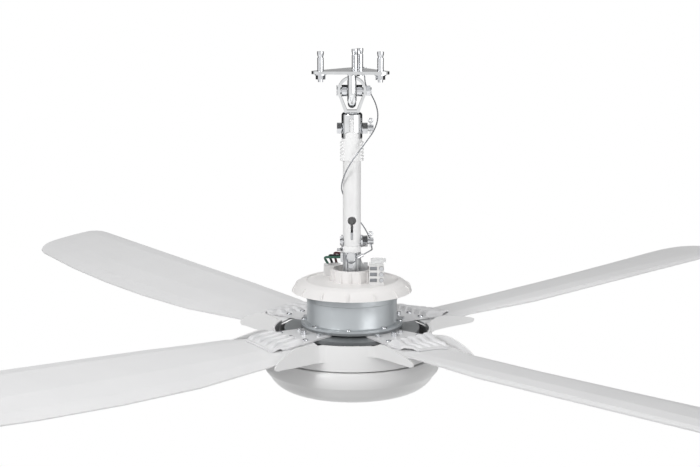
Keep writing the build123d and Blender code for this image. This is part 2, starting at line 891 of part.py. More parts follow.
def make_terminal_screws():
    """One clamping screw per pole, with a driver slot."""
    screws = []
    for drop in pole_drops:
        screw = rod(
            (terminal_screw_x, terminal_front - sleeve_gap, -drop),
            (terminal_screw_x, terminal_front + terminal_screw_length, -drop),
            terminal_screw_radius,
        )
        screw -= block(
            terminal_screw_x - 2 * terminal_screw_radius, terminal_screw_x + 2 * terminal_screw_radius,
            terminal_front - cut_overrun, terminal_front - sleeve_gap + seat_gap,
            drop - seat_gap, drop + seat_gap,
        )
        screws.append(screw)
    return group(screws)


def make_terminal_flap():
    """The clear flap over the terminals, open as in use, with its hinge barrel."""
    left = terminal_left + 2 * flap_pin_radius + seat_gap
    right = terminal_right - 2 * flap_pin_radius - seat_gap
    barrel_y = terminal_back - flap_pin_radius
    flap = rod((left, barrel_y, -flap_pin_drop), (right, barrel_y, -flap_pin_drop), flap_pin_radius)
    hinge = Pos(left, barrel_y, -flap_pin_drop) * Rot(-flap_open_angle, 0, 0)
    neck = Box(
        right - left, flap_length / 2, flap_thickness, align=(Align.MIN, Align.MAX, Align.CENTER)
    )
    leaf = Pos(0, -2 * flap_pin_radius, 0) * Box(
        right - left + flap_overhang, flap_length - 2 * flap_pin_radius, flap_thickness,
        align=(Align.MIN, Align.MAX, Align.CENTER),
    )
    return flap + hinge * (neck + leaf)


def make_lead_box():
    """The small plastic box that takes the leads down through the cover."""
    half_w = lead_box_width / 2
    half_d = lead_box_depth / 2
    top = cover_floor_drop - lead_box_height
    box = block(
        lead_box_x - half_w, lead_box_x + half_w, lead_box_y - half_d, lead_box_y + half_d,
        top, cover_floor_drop,
    )
    box = fillet(box.edges().filter_by(Axis.Z), lead_box_corner)
    for x, y in lead_entries:
        box += Pos(x, y, -top) * extrude(Circle(lead_gland_radius), lead_gland_height)
        box -= Pos(x, y, -top - lead_gland_height) * extrude(
            Circle(lead_radius + slip), 3 * lead_gland_height
        )
    return box


lead_entries = [
    (lead_box_x - lead_box_width / 4, lead_box_y - lead_box_depth / 5),
    (lead_box_x, lead_box_y + lead_box_depth / 6),
    (lead_box_x + lead_box_width / 4, lead_box_y + lead_box_depth / 4),
]


# Leads: routes from the block's outlet to the lead box, and the safety wire's route

def smooth_radii(points):
    """The largest arc that fits each corner of a route."""
    radii = []
    for before, corner, after in zip(points, points[1:], points[2:]):
        run_in = Vector(*corner) - Vector(*before)
        run_out = Vector(*after) - Vector(*corner)
        half_turn = radians(run_in.get_angle(run_out)) / 2
        shorter = min(run_in.length, run_out.length)
        radii.append(corner_share * shorter / tan(half_turn))
    return radii


def cord(name, points, radius):
    """A round cord along straight runs joined by tangent arcs."""
    radii = smooth_radii(points)
    path = FilletPolyline(*points, radius=radii)
    section = Plane(origin=points[0], z_dir=Vector(*points[1]) - Vector(*points[0])) * Circle(radius)
    tube = sweep(section, path=path)
    print(name, "length", round(path.length, 1), "least radius", round(min(radii), 1))
    print(name, "volume share", round(tube.volume / (pi * radius**2 * path.length), 4))
    return tube


def outlet_point(reach, offset, drop):
    """A point in front of the outlet's face, by its distance out, offset and drop."""
    angle = radians(outlet_azimuth)
    x = reach * cos(angle) - offset * sin(angle)
    y = reach * sin(angle) + offset * cos(angle)
    return (x, y, -drop)


lead_end_drop = cover_floor_drop - lead_box_height - lead_gland_height


def lead_route(index):
    """One lead: straight out of the outlet, over in a loop, and down into its gland."""
    x, y = lead_entries[index]
    offset = (1 - index) * lead_spacing
    drop = lead_exit_drop - index * lead_drop_step
    top_drop = lead_end_drop - lead_rise - index * lead_drop_step
    return [
        outlet_point(outlet_reach, offset, drop),
        outlet_point(outlet_reach + lead_straight, offset, drop),
        (x, y, -top_drop),
        (x, y, -lead_end_drop),
    ]


wire_bolt_x = safety_anchor_x + wire_tab_x
wire_bolt_y = safety_anchor_y - wire_tab_y
wire_ring_drop = lug_drop + wire_loop_radius - wire_radius - lug_radius - seat_gap
wire_ring_y = -(lug_reach - lug_lip - wire_radius - seat_gap)
ferrule_start = (ferrule_start_x, wire_ring_y, -ferrule_start_drop)


def make_wire_eye():
    """The ring terminal under the safety anchor's washer, with the barrel that grips the wire."""
    plate = Circle(wire_eye_radius)
    angle = atan2(-wire_tab_y, wire_tab_x)
    length = hypot(wire_tab_x, wire_tab_y)
    tab = Rectangle(length, 2 * ferrule_radius, align=(Align.MIN, Align.CENTER))
    tab = Rot(0, 0, degrees(angle)) * tab
    plate = plate + tab + Pos(wire_tab_x, -wire_tab_y) * Circle(ferrule_radius)
    plate -= Circle(anchor_cone_radius + slip)
    eye = Pos(safety_anchor_x, safety_anchor_y, -wire_eye_thickness) * extrude(plate, wire_eye_thickness)
    low = -wire_route[0][2]
    barrel = Pos(wire_bolt_x, wire_bolt_y, -low) * extrude(Circle(ferrule_radius), low)
    return eye + barrel


def make_wire_loop():
    """The loop that hangs on the lug, and the ferrule that closes it."""
    place = Pos(lug_x, wire_ring_y, -wire_ring_drop) * Rot(90, 0, 0)
    loop = place * Torus(wire_loop_radius, wire_radius)
    ferrule = rod(ferrule_start, ferrule_end, ferrule_radius)
    return loop, ferrule - loop


# Motor

def make_motor_cap():
    """The motor's upper shell, with the upper bearing's seat."""
    radius = motor_radius + cap_lip
    inner = radius - motor_wall
    hole = shaft_radius + motor_shaft_gap
    seat = bearing_radius + slip
    under = motor_top_drop + motor_wall
    return turned([
        (hole, motor_top_drop),
        (radius - motor_corner, motor_top_drop),
        (radius - motor_corner / 4, motor_top_drop + motor_corner / 4),
        (radius, motor_top_drop + motor_corner),
        (radius, motor_seam_drop),
        (inner, motor_seam_drop),
        (inner, under + motor_corner / 2),
        (inner - motor_corner / 2, under),
        (seat + bearing_wall, under),
        (seat + bearing_wall, under + bearing_width),
        (seat, under + bearing_width),
        (seat, under),
        (hole, under),
    ])


def make_motor_housing():
    """The motor's main shell, flanged at its foot."""
    inner = motor_radius - motor_wall
    top = motor_seam_drop + motor_seam_gap
    shell = turned([
        (inner, top),
        (motor_radius, top),
        (motor_radius, flange_top_drop - motor_fillet / 2),
        (motor_radius + motor_fillet / 6, flange_top_drop - motor_fillet / 6),
        (motor_radius + motor_fillet / 2, flange_top_drop),
        (flange_radius, flange_top_drop),
        (flange_radius, flange_split_drop),
        (inner, flange_split_drop),
    ])
    return shell - motor_screw_holes()


def motor_screw_places():
    """Turns to the flange screws, one of them at the front."""
    return [
        turn(motor_screw_azimuth + 360 * index / motor_screw_count)
        * Pos(motor_screw_circle_radius, 0, 0)
        for index in range(motor_screw_count)
    ]


def motor_screw_holes():
    """Holes for the flange screws."""
    hole = Pos(0, 0, -flange_bottom_drop - cut_overrun) * extrude(
        Circle(screw_radius + slip), flange_bottom_drop - flange_top_drop + 2 * cut_overrun
    )
    return Compound(children=[place * hole for place in motor_screw_places()])


def make_motor_screws():
    """Round-headed screws that hold the flange to the base."""
    screws = []
    for place in motor_screw_places():
        shank = Pos(0, 0, -flange_bottom_drop) * extrude(
            Circle(screw_radius), flange_bottom_drop - flange_top_drop
        )
        head = Pos(0, 0, -flange_top_drop) * extrude(Circle(screw_head_radius), screw_head_height)
        head = chamfer(head.edges().group_by(Axis.Z)[-1], screw_head_height / 3)
        screws.append(place * (shank + head))
    return group(screws)


base_top_drop = flange_split_drop + slip
iron_top_drop = flange_bottom_drop + seat_gap
iron_bottom_drop = iron_top_drop + iron_sheet
bearing_floor_drop = base_bottom_drop - motor_wall


def make_motor_base():
    """The motor's foot: a flange, the lower bearing's seat and a wide plate under the irons."""
    hole = shaft_radius + motor_shaft_gap
    seat = bearing_radius + slip
    base = turned([
        (seat, bearing_floor_drop - bearing_width),
        (seat + bearing_wall, bearing_floor_drop - bearing_width),
        (seat + bearing_wall, base_top_drop),
        (flange_radius, base_top_drop),
        (flange_radius, flange_bottom_drop),
        (base_radius, flange_bottom_drop),
        (base_radius - motor_corner, base_bottom_drop),
        (hole, base_bottom_drop),
        (hole, bearing_floor_drop),
        (seat, bearing_floor_drop),
    ])
    base += ring(
        foot_radius, base_radius - 2 * motor_corner, iron_bottom_drop, iron_bottom_drop + arm_thickness
    )
    for index in range(len(BLADE_SIDES)):
        arm = block(
            base_radius - 2 * motor_corner, arm_reach, -arm_width / 2, arm_width / 2,
            iron_bottom_drop, iron_bottom_drop + arm_thickness,
        )
        arm = fillet(arm.edges().filter_by(Axis.Z), arm_thickness)
        base += turn(blade_azimuth(index)) * arm
        for u, v, radius in iron_bolt_places:
            base -= turn(blade_azimuth(index)) * Pos(u, v, -base_bottom_drop - cut_overrun) * extrude(
                Circle(radius + slip), base_bottom_drop - iron_bottom_drop + 2 * cut_overrun
            )
    for index in range(len(BLADE_SIDES)):
        place = turn(blade_azimuth(index) + BLADE_STEP / 2) * Pos(pan_post_circle_radius, 0, 0)
        post = Pos(0, 0, -pan_drop) * extrude(Circle(pan_post_radius), pan_drop - base_bottom_drop)
        base += place * post
        base -= place * Pos(0, 0, -pan_drop - cut_overrun) * extrude(
            Circle(screw_radius + slip), pan_screw_length + cut_overrun
        )
    return base - motor_screw_holes()


def make_bearing(top_drop):
    """A shielded ball bearing: two races and a recessed shield between them."""
    bore = shaft_radius + slip
    race = (bearing_radius - bore) / 4
    step = race / 3
    bottom_drop = top_drop + bearing_width
    return turned([
        (bore, top_drop),
        (bore + race, top_drop),
        (bore + race, top_drop + step),
        (bearing_radius - race, top_drop + step),
        (bearing_radius - race, top_drop),
        (bearing_radius, top_drop),
        (bearing_radius, bottom_drop),
        (bearing_radius - race, bottom_drop),
        (bearing_radius - race, bottom_drop - step),
        (bore + race, bottom_drop - step),
        (bore + race, bottom_drop),
        (bore, bottom_drop),
    ])


magnet_outer = motor_radius - motor_wall - slip
magnet_inner = magnet_outer - magnet_thickness
stator_radius = magnet_inner - air_gap


def make_stator():
    """Twelve teeth with shoes round a hub on the shaft."""
    hub = ring(stator_hub_radius, shaft_radius + slip, stator_top_drop, stator_bottom_drop)
    core = hub
    disc_core = disc(stator_radius, stator_top_drop, stator_bottom_drop)
    for index in range(stator_tooth_count):
        tooth = block(
            stator_hub_radius - stator_yoke, stator_radius + cut_overrun,
            -stator_tooth_width / 2, stator_tooth_width / 2, stator_top_drop, stator_bottom_drop,
        )
        tooth += block(
            stator_radius - stator_shoe, stator_radius + cut_overrun,
            -stator_shoe_width / 2, stator_shoe_width / 2, stator_top_drop, stator_bottom_drop,
        )
        core += turn(360 * index / stator_tooth_count) * (tooth & disc_core)
    return core


def make_coils():
    """One coil round each tooth."""
    coils = []
    inner_x = stator_hub_radius + stator_yoke
    outer_x = stator_radius - 2 * stator_shoe
    half = stator_tooth_width / 2 + coil_gap
    for index in range(stator_tooth_count):
        coil = block(
            inner_x, outer_x, -half - coil_wall, half + coil_wall,
            stator_top_drop - coil_gap - coil_wall, stator_bottom_drop + coil_gap + coil_wall,
        )
        coil = fillet(coil.edges().filter_by(Axis.X), coil_wall / 2)
        coil -= block(
            inner_x - cut_overrun, outer_x + cut_overrun, -half, half,
            stator_top_drop - coil_gap, stator_bottom_drop + coil_gap,
        )
        coils.append(turn(360 * index / stator_tooth_count) * coil)
    return group(coils)


def make_driver_board():
    """The ring-shaped circuit board under the cover, with its larger chips."""
    top = cover_floor_drop + cover_wall + seat_gap
    board = ring(board_outer_radius, board_inner_radius, top, top + board_thickness)
    for index in range(len(BLADE_SIDES)):
        chip = block(
            board_inner_radius + board_chip / 2, board_inner_radius + 3 * board_chip / 2,
            -board_chip / 2, board_chip / 2, top + board_thickness,
            top + board_thickness + board_chip_height,
        )
        board += turn(index * BLADE_STEP) * chip
    return board


# Blades and irons. In a blade's own frame u runs outwards along it and v runs to its left, seen
# from above. The fan turns clockwise from above, so the leading edge is at negative v.

CHORD_SHARES = (0.0, 0.05, 0.2, 0.42, 0.62, 0.85, 1.0)
CROWN_SHARES = (0.0, 0.45, 0.92, 0.97, 0.9, 0.45, 0.0)
THICKNESS_SHARES = (0.55, 0.85, 1.0, 1.0, 1.0, 0.75, 0.5)
SPAN_SHARES = (0.2, 0.4, 0.6, 0.8, 1.0)
TIP_ANGLES = (25, 45, 62, 78, 90)


def blade_azimuth(index):
    """The azimuth of one blade."""
    return first_blade_azimuth + index * BLADE_STEP


def through(values, u):
    """A smooth curve through a value at the root, the middle and the tip."""
    root, middle, tip = values
    s = (u - edge_root_reach) / (sweep_radius - edge_root_reach)
    return root * (1 - s) * (1 - 2 * s) + middle * 4 * s * (1 - s) + tip * s * (2 * s - 1)


def smooth_rise(u, start, end):
    """Rises smoothly from 0 at the start to 1 at the end."""
    s = min(max((u - start) / (end - start), 0.0), 1.0)
    return s * s * (3 - 2 * s)


def wing_line(u):
    """How far a wing stands from the blade's middle line."""
    s = (u - wing_root_reach) / (wing_tip_reach - wing_root_reach)
    return wing_root_offset + (wing_tip_offset - wing_root_offset) * s


def tip_round(u, radius):
    """How much a rounded tip corner takes off the chord."""
    run = max(u - (sweep_radius - radius), 0.0)
    return radius - max(radius**2 - run**2, 0.0) ** 0.5


def blade_edges(u):
    """The leading and trailing offsets v of the blade at one reach."""
    lead = through(lead_offsets, u)
    trail = through(trail_offsets, u)
    if u < wing_tip_reach:
        lead = max(lead, wing_clearance - wing_line(u))
        trail = min(trail, wing_line(u) - wing_clearance)
    return lead + tip_round(u, tip_lead_radius), trail - tip_round(u, tip_trail_radius)


def share_at(share, places, values):
    """Straight-line reading of a table of shares."""
    for low, high, start, end in zip(places, places[1:], values, values[1:]):
        if share <= high:
            return start + (end - start) * (share - low) / (high - low)
    return values[-1]


def pad_height(v):
    """The flat seat under the iron, which falls away towards the blade's edges."""
    out = max(abs(v) - blade_pad_half_width, 0.0)
    return -(iron_bottom_drop + blade_iron_gap) - out * pad_slope_share


def blade_top(u, v):
    """The height of the blade's upper face."""
    lead, trail = through(lead_offsets, u), through(trail_offsets, u)
    share = min(max((v - lead) / (trail - lead), 0.0), 1.0)
    low, high = through(trail_drops, u), through(lead_drops, u)
    chord_height = -(high + (low - high) * share)
    crown = through((blade_crown_root, blade_crown_mid, blade_crown_tip), u)
    free = chord_height + crown * share_at(share, CHORD_SHARES, CROWN_SHARES)
    blend = smooth_rise(u, iron_flat_reach, blade_free_reach)
    return pad_height(v) * (1 - blend) + free * blend


def face_at(u, top, bottom):
    """A closed section on the plane across a blade at one reach, from its two outlines."""
    plane = Plane(origin=(u, 0, 0), x_dir=(0, 1, 0), z_dir=(1, 0, 0))
    return plane * make_face(Polyline(*top, *reversed(bottom), close=True))


def blade_section(u):
    """One section of the blade."""
    lead, trail = blade_edges(u)
    top = []
    bottom = []
    for share, thickness_share in zip(CHORD_SHARES, THICKNESS_SHARES):
        v = lead + (trail - lead) * share
        height = blade_top(u, v)
        top.append((v, height))
        bottom.append((v, height - blade_thickness * thickness_share))
    return face_at(u, top, bottom)


def blade_stations():
    """Reaches of the blade's sections: close at the root and round the tip."""
    span = sweep_radius - tip_trail_radius - blade_free_reach
    stations = [blade_root_reach]
    stations += [reach for reach in iron_reaches if reach >= iron_flat_reach]
    stations += [blade_shoulder_reach]
    stations += [blade_free_reach + span * share for share in SPAN_SHARES]
    for angle in TIP_ANGLES:
        stations.append(sweep_radius - tip_trail_radius * (1 - sin(radians(angle))))
    return stations


def make_blade(index):
    """One moulded blade, lofted through its sections."""
    blade = loft([blade_section(u) for u in blade_stations()], ruled=True)
    for u, v in blade_screw_places:
        hole = Circle(screw_radius + slip)
        blade -= Pos(u, v, -skirt_bottom_drop) * extrude(hole, skirt_bottom_drop - iron_top_drop)
    return turn(blade_azimuth(index)) * blade


def iron_section(u, half_width, rise, sway):
    """One section of an iron: a sheet pressed into ribs that follows the blade's upper face."""
    rib_pitch_here = 2 * half_width / iron_rib_count
    flank = rib_pitch_here * rib_flank_share
    crest = rib_pitch_here * rib_crest_share
    top = []
    bottom = []
    outline = [(-half_width, 0.0)]
    for rib in range(iron_rib_count):
        middle = sway - half_width + rib_pitch_here * (rib + 0.5)
        outline += [
            (middle - crest / 2 - flank, 0.0),
            (middle - crest / 2, rise),
            (middle + crest / 2, rise),
            (middle + crest / 2 + flank, 0.0),
        ]
    outline.append((half_width, 0.0))
    for v, lift in outline:
        if u > iron_flat_reach:
            floor = blade_top(u, v) + blade_iron_gap
        else:
            floor = -iron_bottom_drop
        bottom.append((v, floor + lift))
        top.append((v, floor + lift + iron_sheet))
    return face_at(u, top, bottom)


def make_iron(index):
    """One blade iron: flat on the motor's foot, with winding ribs over the blade's root."""
    stations = zip(iron_reaches, iron_half_widths, iron_rises, iron_sways)
    iron = loft([iron_section(*station) for station in stations], ruled=True)
    for u, v, radius in iron_bolt_places:
        iron -= Pos(u, v, -skirt_bottom_drop) * extrude(
            Circle(radius + slip), skirt_bottom_drop - flange_top_drop
        )
    for u, v in blade_screw_places:
        iron -= Pos(u, v, -skirt_bottom_drop) * extrude(
            Circle(screw_radius + slip), skirt_bottom_drop - flange_top_drop
        )
        iron -= Pos(u, v, -iron_top_drop) * extrude(
            Circle(blade_screw_head_radius + seat_gap), iron_top_drop - flange_top_drop
        )
    return turn(blade_azimuth(index)) * iron


def make_iron_bolts():
    """Per iron, a tall post bolt in the middle and two small ones, down into the motor's arm."""
    bolts = []
    for index in range(len(BLADE_SIDES)):
        for u, v, radius in iron_bolt_places:
            tall = post_height if v == 0 else post_height / 2
            low = iron_bottom_drop + arm_thickness
            bolt = Pos(0, 0, -low) * extrude(Circle(radius), low - iron_top_drop)
            head = Circle(post_head_radius) if v == 0 else hexagon(iron_bolt_flats)
            bolt += Pos(0, 0, -iron_top_drop) * extrude(head, tall)
            bolts.append(turn(blade_azimuth(index)) * Pos(u, v, 0) * bolt)
    return group(bolts)


def make_blade_screws():
    """Three screws through each iron into its blade's root."""
    screws = []
    for index in range(len(BLADE_SIDES)):
        for u, v in blade_screw_places:
            seat = iron_top_drop
            low = iron_bottom_drop + blade_iron_gap + blade_thickness + screw_tail
            screw = Pos(0, 0, -low) * extrude(Circle(screw_radius), low - seat)
            head = Pos(0, 0, -seat) * extrude(Circle(blade_screw_head_radius), screw_head_height)
            head = chamfer(head.edges().group_by(Axis.Z)[-1], screw_head_height / 3)
            screws.append(turn(blade_azimuth(index)) * Pos(u, v, 0) * (screw + head))
    return group(screws)


iron_bolt_places = [
    (iron_bolt_reach, 0.0, post_radius),
    (iron_bolt_reach - iron_bolt_back, -iron_bolt_offset, screw_radius),
    (iron_bolt_reach - iron_bolt_back, iron_bolt_offset, screw_radius),
]
blade_screw_places = [
    (blade_screw_reach, -blade_screw_offset),
    (blade_screw_reach, blade_screw_offset),
    (blade_screw_reach + screw_head_radius, 0.0),
]


# Skirt, pan and dome

def wing(side, reaches, drops):
    """A leaf-shaped fin that leaves the skirt beside a blade. Side is -1 on the leading edge."""
    root = Vector(wing_root_reach, side * wing_root_offset, -opening_floor_drop)
    tip = Vector(wing_tip_reach, side * wing_tip_offset, -opening_floor_drop)
    run = tip - root
    lean = Vector(0, -side * tan(radians(wing_lean_angle)), 1)
    plane = Plane(origin=root, x_dir=run, z_dir=run.cross(lean))
    points = [
        (reach - wing_root_reach, opening_floor_drop - drop) for reach, drop in zip(reaches, drops)
    ]
    outline = Spline(*points)
    outline += Polyline(
        points[-1], (-wing_inset, points[-1][1]), (-wing_inset, points[0][1]), points[0]
    )
    return plane * extrude(make_face(outline), wing_thickness / 2, both=True)


def flare_plan(side, drop):
    """Plan of the rounded corner between a wing and the skirt's wall at one height."""
    s = (drop - skirt_top_drop) / (skirt_bottom_drop - skirt_top_drop)
    wall = skirt_top_radius + (skirt_bottom_radius - skirt_top_radius) * s
    wall += 4 * skirt_bulge * s * (1 - s)
    lean = (drop - opening_floor_drop) * tan(radians(wing_lean_angle))
    corner_v = wing_root_offset + wing_thickness / 2 + lean
    corner = Vector(sqrt_leg(wall, corner_v), corner_v, 0)
    slope = (wing_tip_offset - wing_root_offset) / (wing_tip_reach - wing_root_reach)
    on_wing = corner + Vector(1, slope, 0).normalized() * wing_flare
    angle = atan2(corner.Y, corner.X) + wing_flare / wall
    on_wall = Vector(wall * cos(angle), wall * sin(angle), 0)
    out = ((on_wing - corner).normalized() + (on_wall - corner).normalized()).normalized()
    half = radians(out.get_angle(on_wing - corner))
    middle = corner + out * (wing_flare * tan(half) * (1 / sin(half) - 1))
    inner_wall = (wall - wing_thickness / 2) / wall
    points = [
        on_wall, on_wall * inner_wall, corner * inner_wall,
        on_wing - Vector(0, wing_thickness / 2, 0), on_wing,
    ]
    points = [Vector(point.X, side * point.Y, 0) for point in points]
    middle = Vector(middle.X, side * middle.Y, 0)
    outline = Polyline(*points) + ThreePointArc(points[-1], middle, points[0])
    return Pos(0, 0, -drop) * make_face(outline)


def flared_wing(side, reaches, drops):
    """A wing with the rounded corner that blends its root into the skirt's wall."""
    flare = loft([flare_plan(side, skirt_top_drop), flare_plan(side, drops[-1])], ruled=True)
    return wing(side, reaches, drops) + flare


def make_skirt():
    """The lower cover's ring: four wall panels that flare into wings beside the blades."""
    middle_drop = (skirt_top_drop + skirt_bottom_drop) / 2
    outer_middle = (skirt_top_radius + skirt_bottom_radius) / 2 + skirt_bulge
    ledge_inner = skirt_bottom_radius - skirt_wall - skirt_ledge
    outline = Polyline(
        (skirt_bottom_radius, -skirt_bottom_drop),
        (skirt_bottom_radius - skirt_wall, -skirt_bottom_drop),
        (skirt_bottom_radius - skirt_wall, -ledge_bottom_drop),
        (ledge_inner, -ledge_bottom_drop),
        (ledge_inner, -ledge_top_drop),
        (skirt_bottom_radius - skirt_wall - skirt_bulge / 2, -ledge_top_drop),
    )
    outline += ThreePointArc(
        (skirt_bottom_radius - skirt_wall - skirt_bulge / 2, -ledge_top_drop),
        (outer_middle - skirt_wall, -middle_drop),
        (skirt_top_radius - skirt_wall, -skirt_top_drop),
    )
    outline += Line(
        (skirt_top_radius - skirt_wall, -skirt_top_drop), (skirt_top_radius, -skirt_top_drop)
    )
    outline += ThreePointArc(
        (skirt_top_radius, -skirt_top_drop),
        (outer_middle, -middle_drop),
        (skirt_bottom_radius, -skirt_bottom_drop),
    )
    skirt = revolve(Plane.XZ * make_face(outline), Axis.Z)
    for index in range(len(BLADE_SIDES)):
        opening = block(
            pan_post_circle_radius, 2 * skirt_bottom_radius, -wing_root_offset, wing_root_offset,
            flange_top_drop, opening_floor_drop,
        )
        skirt -= turn(blade_azimuth(index)) * opening
    lead_wing = flared_wing(-1, lead_wing_reaches, lead_wing_drops)
    trail_wing = flared_wing(1, trail_wing_reaches, trail_wing_drops)
    for index in range(len(BLADE_SIDES)):
        skirt += turn(blade_azimuth(index)) * lead_wing
        skirt += turn(blade_azimuth(index)) * trail_wing
    tab_top_drop = lug_top_drop + dome_lug_height + slip
    for index in range(dome_lug_count):
        tab = ring(
            skirt_bottom_radius - skirt_wall / 2, dome_lip_radius + seat_gap, tab_top_drop,
            skirt_bottom_drop,
        )
        skirt += turn(360 * index / dome_lug_count) * (tab & lug_sector())
    return skirt


ledge_top_drop = pan_drop + pan_thickness + slip
ledge_bottom_drop = ledge_top_drop + skirt_ledge_height
lug_top_drop = ledge_bottom_drop + seat_gap


def make_pan():
    """The dark steel plate under the motor's posts that carries the skirt."""
    inner = skirt_bottom_radius - skirt_wall - skirt_bulge / 2 - seat_gap
    pan = ring(inner - skirt_bulge, shaft_radius + motor_shaft_gap, pan_drop, pan_drop + pan_thickness)
    for index in range(len(BLADE_SIDES)):
        place = turn(blade_azimuth(index) + BLADE_STEP / 2) * Pos(pan_post_circle_radius, 0, 0)
        pan -= place * Pos(0, 0, -pan_drop - pan_thickness - cut_overrun) * extrude(
            Circle(screw_radius + slip), pan_thickness + 2 * cut_overrun
        )
    return pan


def make_pan_screws():
    """Screws up through the pan into the motor's posts."""
    screws = []
    for index in range(len(BLADE_SIDES)):
        low = pan_drop + pan_thickness
        screw = Pos(0, 0, -low) * extrude(Circle(screw_radius), pan_screw_length)
        screw += Pos(0, 0, -low - screw_head_height) * extrude(
            Circle(screw_head_radius), screw_head_height
        )
        place = turn(blade_azimuth(index) + BLADE_STEP / 2) * Pos(pan_post_circle_radius, 0, 0)
        screws.append(place * screw)
    return group(screws)


def dome_face(inset):
    """Half of the dome's outline as a face, with every edge moved in by one distance."""
    rim = (dome_rim_radius - inset, -dome_rim_drop)
    side_radius = dome_break_radius + dome_side_share * (dome_bulge_radius - dome_break_radius)
    side = (side_radius - inset, -dome_side_drop)
    corner = (dome_break_radius - inset, -dome_break_drop + inset / 2)
    belly_rise = dome_bottom_drop - dome_turn_drop
    turn_point = (dome_turn_radius, -dome_turn_drop + inset)
    foot = (0, -dome_bottom_drop + inset)
    belly = (
        (corner[0] + turn_point[0]) / 2 + dome_belly,
        (corner[1] + turn_point[1]) / 2 - dome_belly,
    )
    sphere_radius = (dome_turn_radius**2 + belly_rise**2) / (2 * belly_rise)
    middle = dome_turn_radius / 2
    sag = (middle, foot[1] + sphere_radius - sqrt_leg(sphere_radius, middle))
    outline = Line((0, -dome_rim_drop), rim)
    outline += ThreePointArc(rim, (dome_bulge_radius - inset, -dome_bulge_drop), side)
    outline += Line(side, corner)
    outline += ThreePointArc(corner, belly, turn_point)
    outline += ThreePointArc(turn_point, sag, foot)
    outline += Line(foot, (0, -dome_rim_drop))
    return make_face(outline)


def band(inner, outer, top_drop, bottom_drop):
    """A rectangle in the half outline of a turned part."""
    middle = ((inner + outer) / 2, -(top_drop + bottom_drop) / 2)
    return Pos(*middle) * Rectangle(outer - inner, bottom_drop - top_drop)


def make_dome():
    """The bowl under the fan, with a lip whose three lugs turn over the skirt's tabs."""
    lip_inner = dome_lip_radius - dome_wall
    face = dome_face(0) - dome_face(dome_wall)
    face += band(lip_inner, dome_rim_radius, dome_rim_drop, dome_rim_drop + dome_wall)
    face += band(lip_inner, dome_lip_radius, lug_top_drop, dome_rim_drop + dome_wall)
    dome = revolve(Plane.XZ * face, Axis.Z)
    for index in range(dome_lug_count):
        lug = ring(dome_lug_radius, lip_inner, lug_top_drop, lug_top_drop + dome_lug_height)
        dome += turn(360 * index / dome_lug_count) * (lug & lug_sector())
    return dome


def lug_sector():
    """The width of one bayonet lug, and of the tab that carries it."""
    return block(
        0, 2 * dome_rim_radius, -dome_lug_half_width, dome_lug_half_width, pan_drop, dome_bottom_drop
    )


dome_rim_drop = skirt_bottom_drop + dome_gap


def save_all():
    """Write every sub-part."""
    save("ceiling_plate", make_ceiling_plate())
    studs, sleeves, washers, nuts = make_anchors()
    save("anchor_studs", studs)
    save("anchor_sleeves", sleeves)
    save("anchor_washers", washers)
    save("anchor_nuts", nuts)
    save("hook_bolt", make_hook())
    save("hanger_roller", make_roller())
    axle, spacers, axle_nut = make_axle()
    save("roller_axle", axle)
    save("axle_spacers", spacers)
    save("axle_nut", axle_nut)
    save("shackle", make_shackle())
    save("down_pipe", make_pipe())
    save("ribbed_sleeve", make_sleeve())
    bolt, nut, pin = make_upper_bolt()
    save("upper_bolt", bolt)
    bolt_low, washer, nut_low, pin_low = make_lower_bolt()
    save("lower_bolt", bolt_low)
    save("lower_washer", washer)
    save("castle_nuts", group([nut, nut_low]))
    save("split_pins", group([pin, pin_low]))
    save("motor_shaft", make_shaft())
    save("shaft_coupler", make_coupler())
    save("grub_screw", make_grub_screw())
    save("shaft_block", make_shaft_block())
    save("block_screw", make_block_screw())
    save("top_cover", make_top_cover())
    save("terminal_block", make_terminal_block())
    save("terminal_screws", make_terminal_screws())
    save("terminal_flap", make_terminal_flap())
    save("lead_box", make_lead_box())
    save("driver_board", make_driver_board())
    for index, colour in enumerate(LEAD_COLOURS):
        save("lead_" + colour, cord("lead_" + colour, lead_route(index), lead_radius))
    save("wire_eye", make_wire_eye())
    save("safety_wire", cord("safety_wire", wire_route, wire_radius))
    loop, ferrule = make_wire_loop()
    save("wire_loop", loop)
    save("wire_ferrule", ferrule)
    save("upper_bearing", make_bearing(motor_top_drop + motor_wall + seat_gap))
    save("lower_bearing", make_bearing(bearing_floor_drop - bearing_width - seat_gap))
    save("stator_core", make_stator())
    save("stator_coils", make_coils())
    save("motor_cap", make_motor_cap())
    save("motor_housing", make_motor_housing())
    save("motor_base", make_motor_base())
    save("magnet_ring", ring(magnet_outer, magnet_inner, magnet_top_drop, magnet_bottom_drop))
    save("motor_screws", make_motor_screws())
    save("iron_bolts", make_iron_bolts())
    save("blade_screws", make_blade_screws())
    for index, side in enumerate(BLADE_SIDES):
        save("blade_iron_" + side, make_iron(index))
        save("blade_" + side, make_blade(index))
    save("skirt", make_skirt())
    save("mounting_pan", make_pan())
    save("pan_screws", make_pan_screws())
    save("dome", make_dome())


save_all()
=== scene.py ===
import json
import math

import bmesh
import bpy
from mathutils import Matrix, Vector
from mathutils.bvhtree import BVHTree

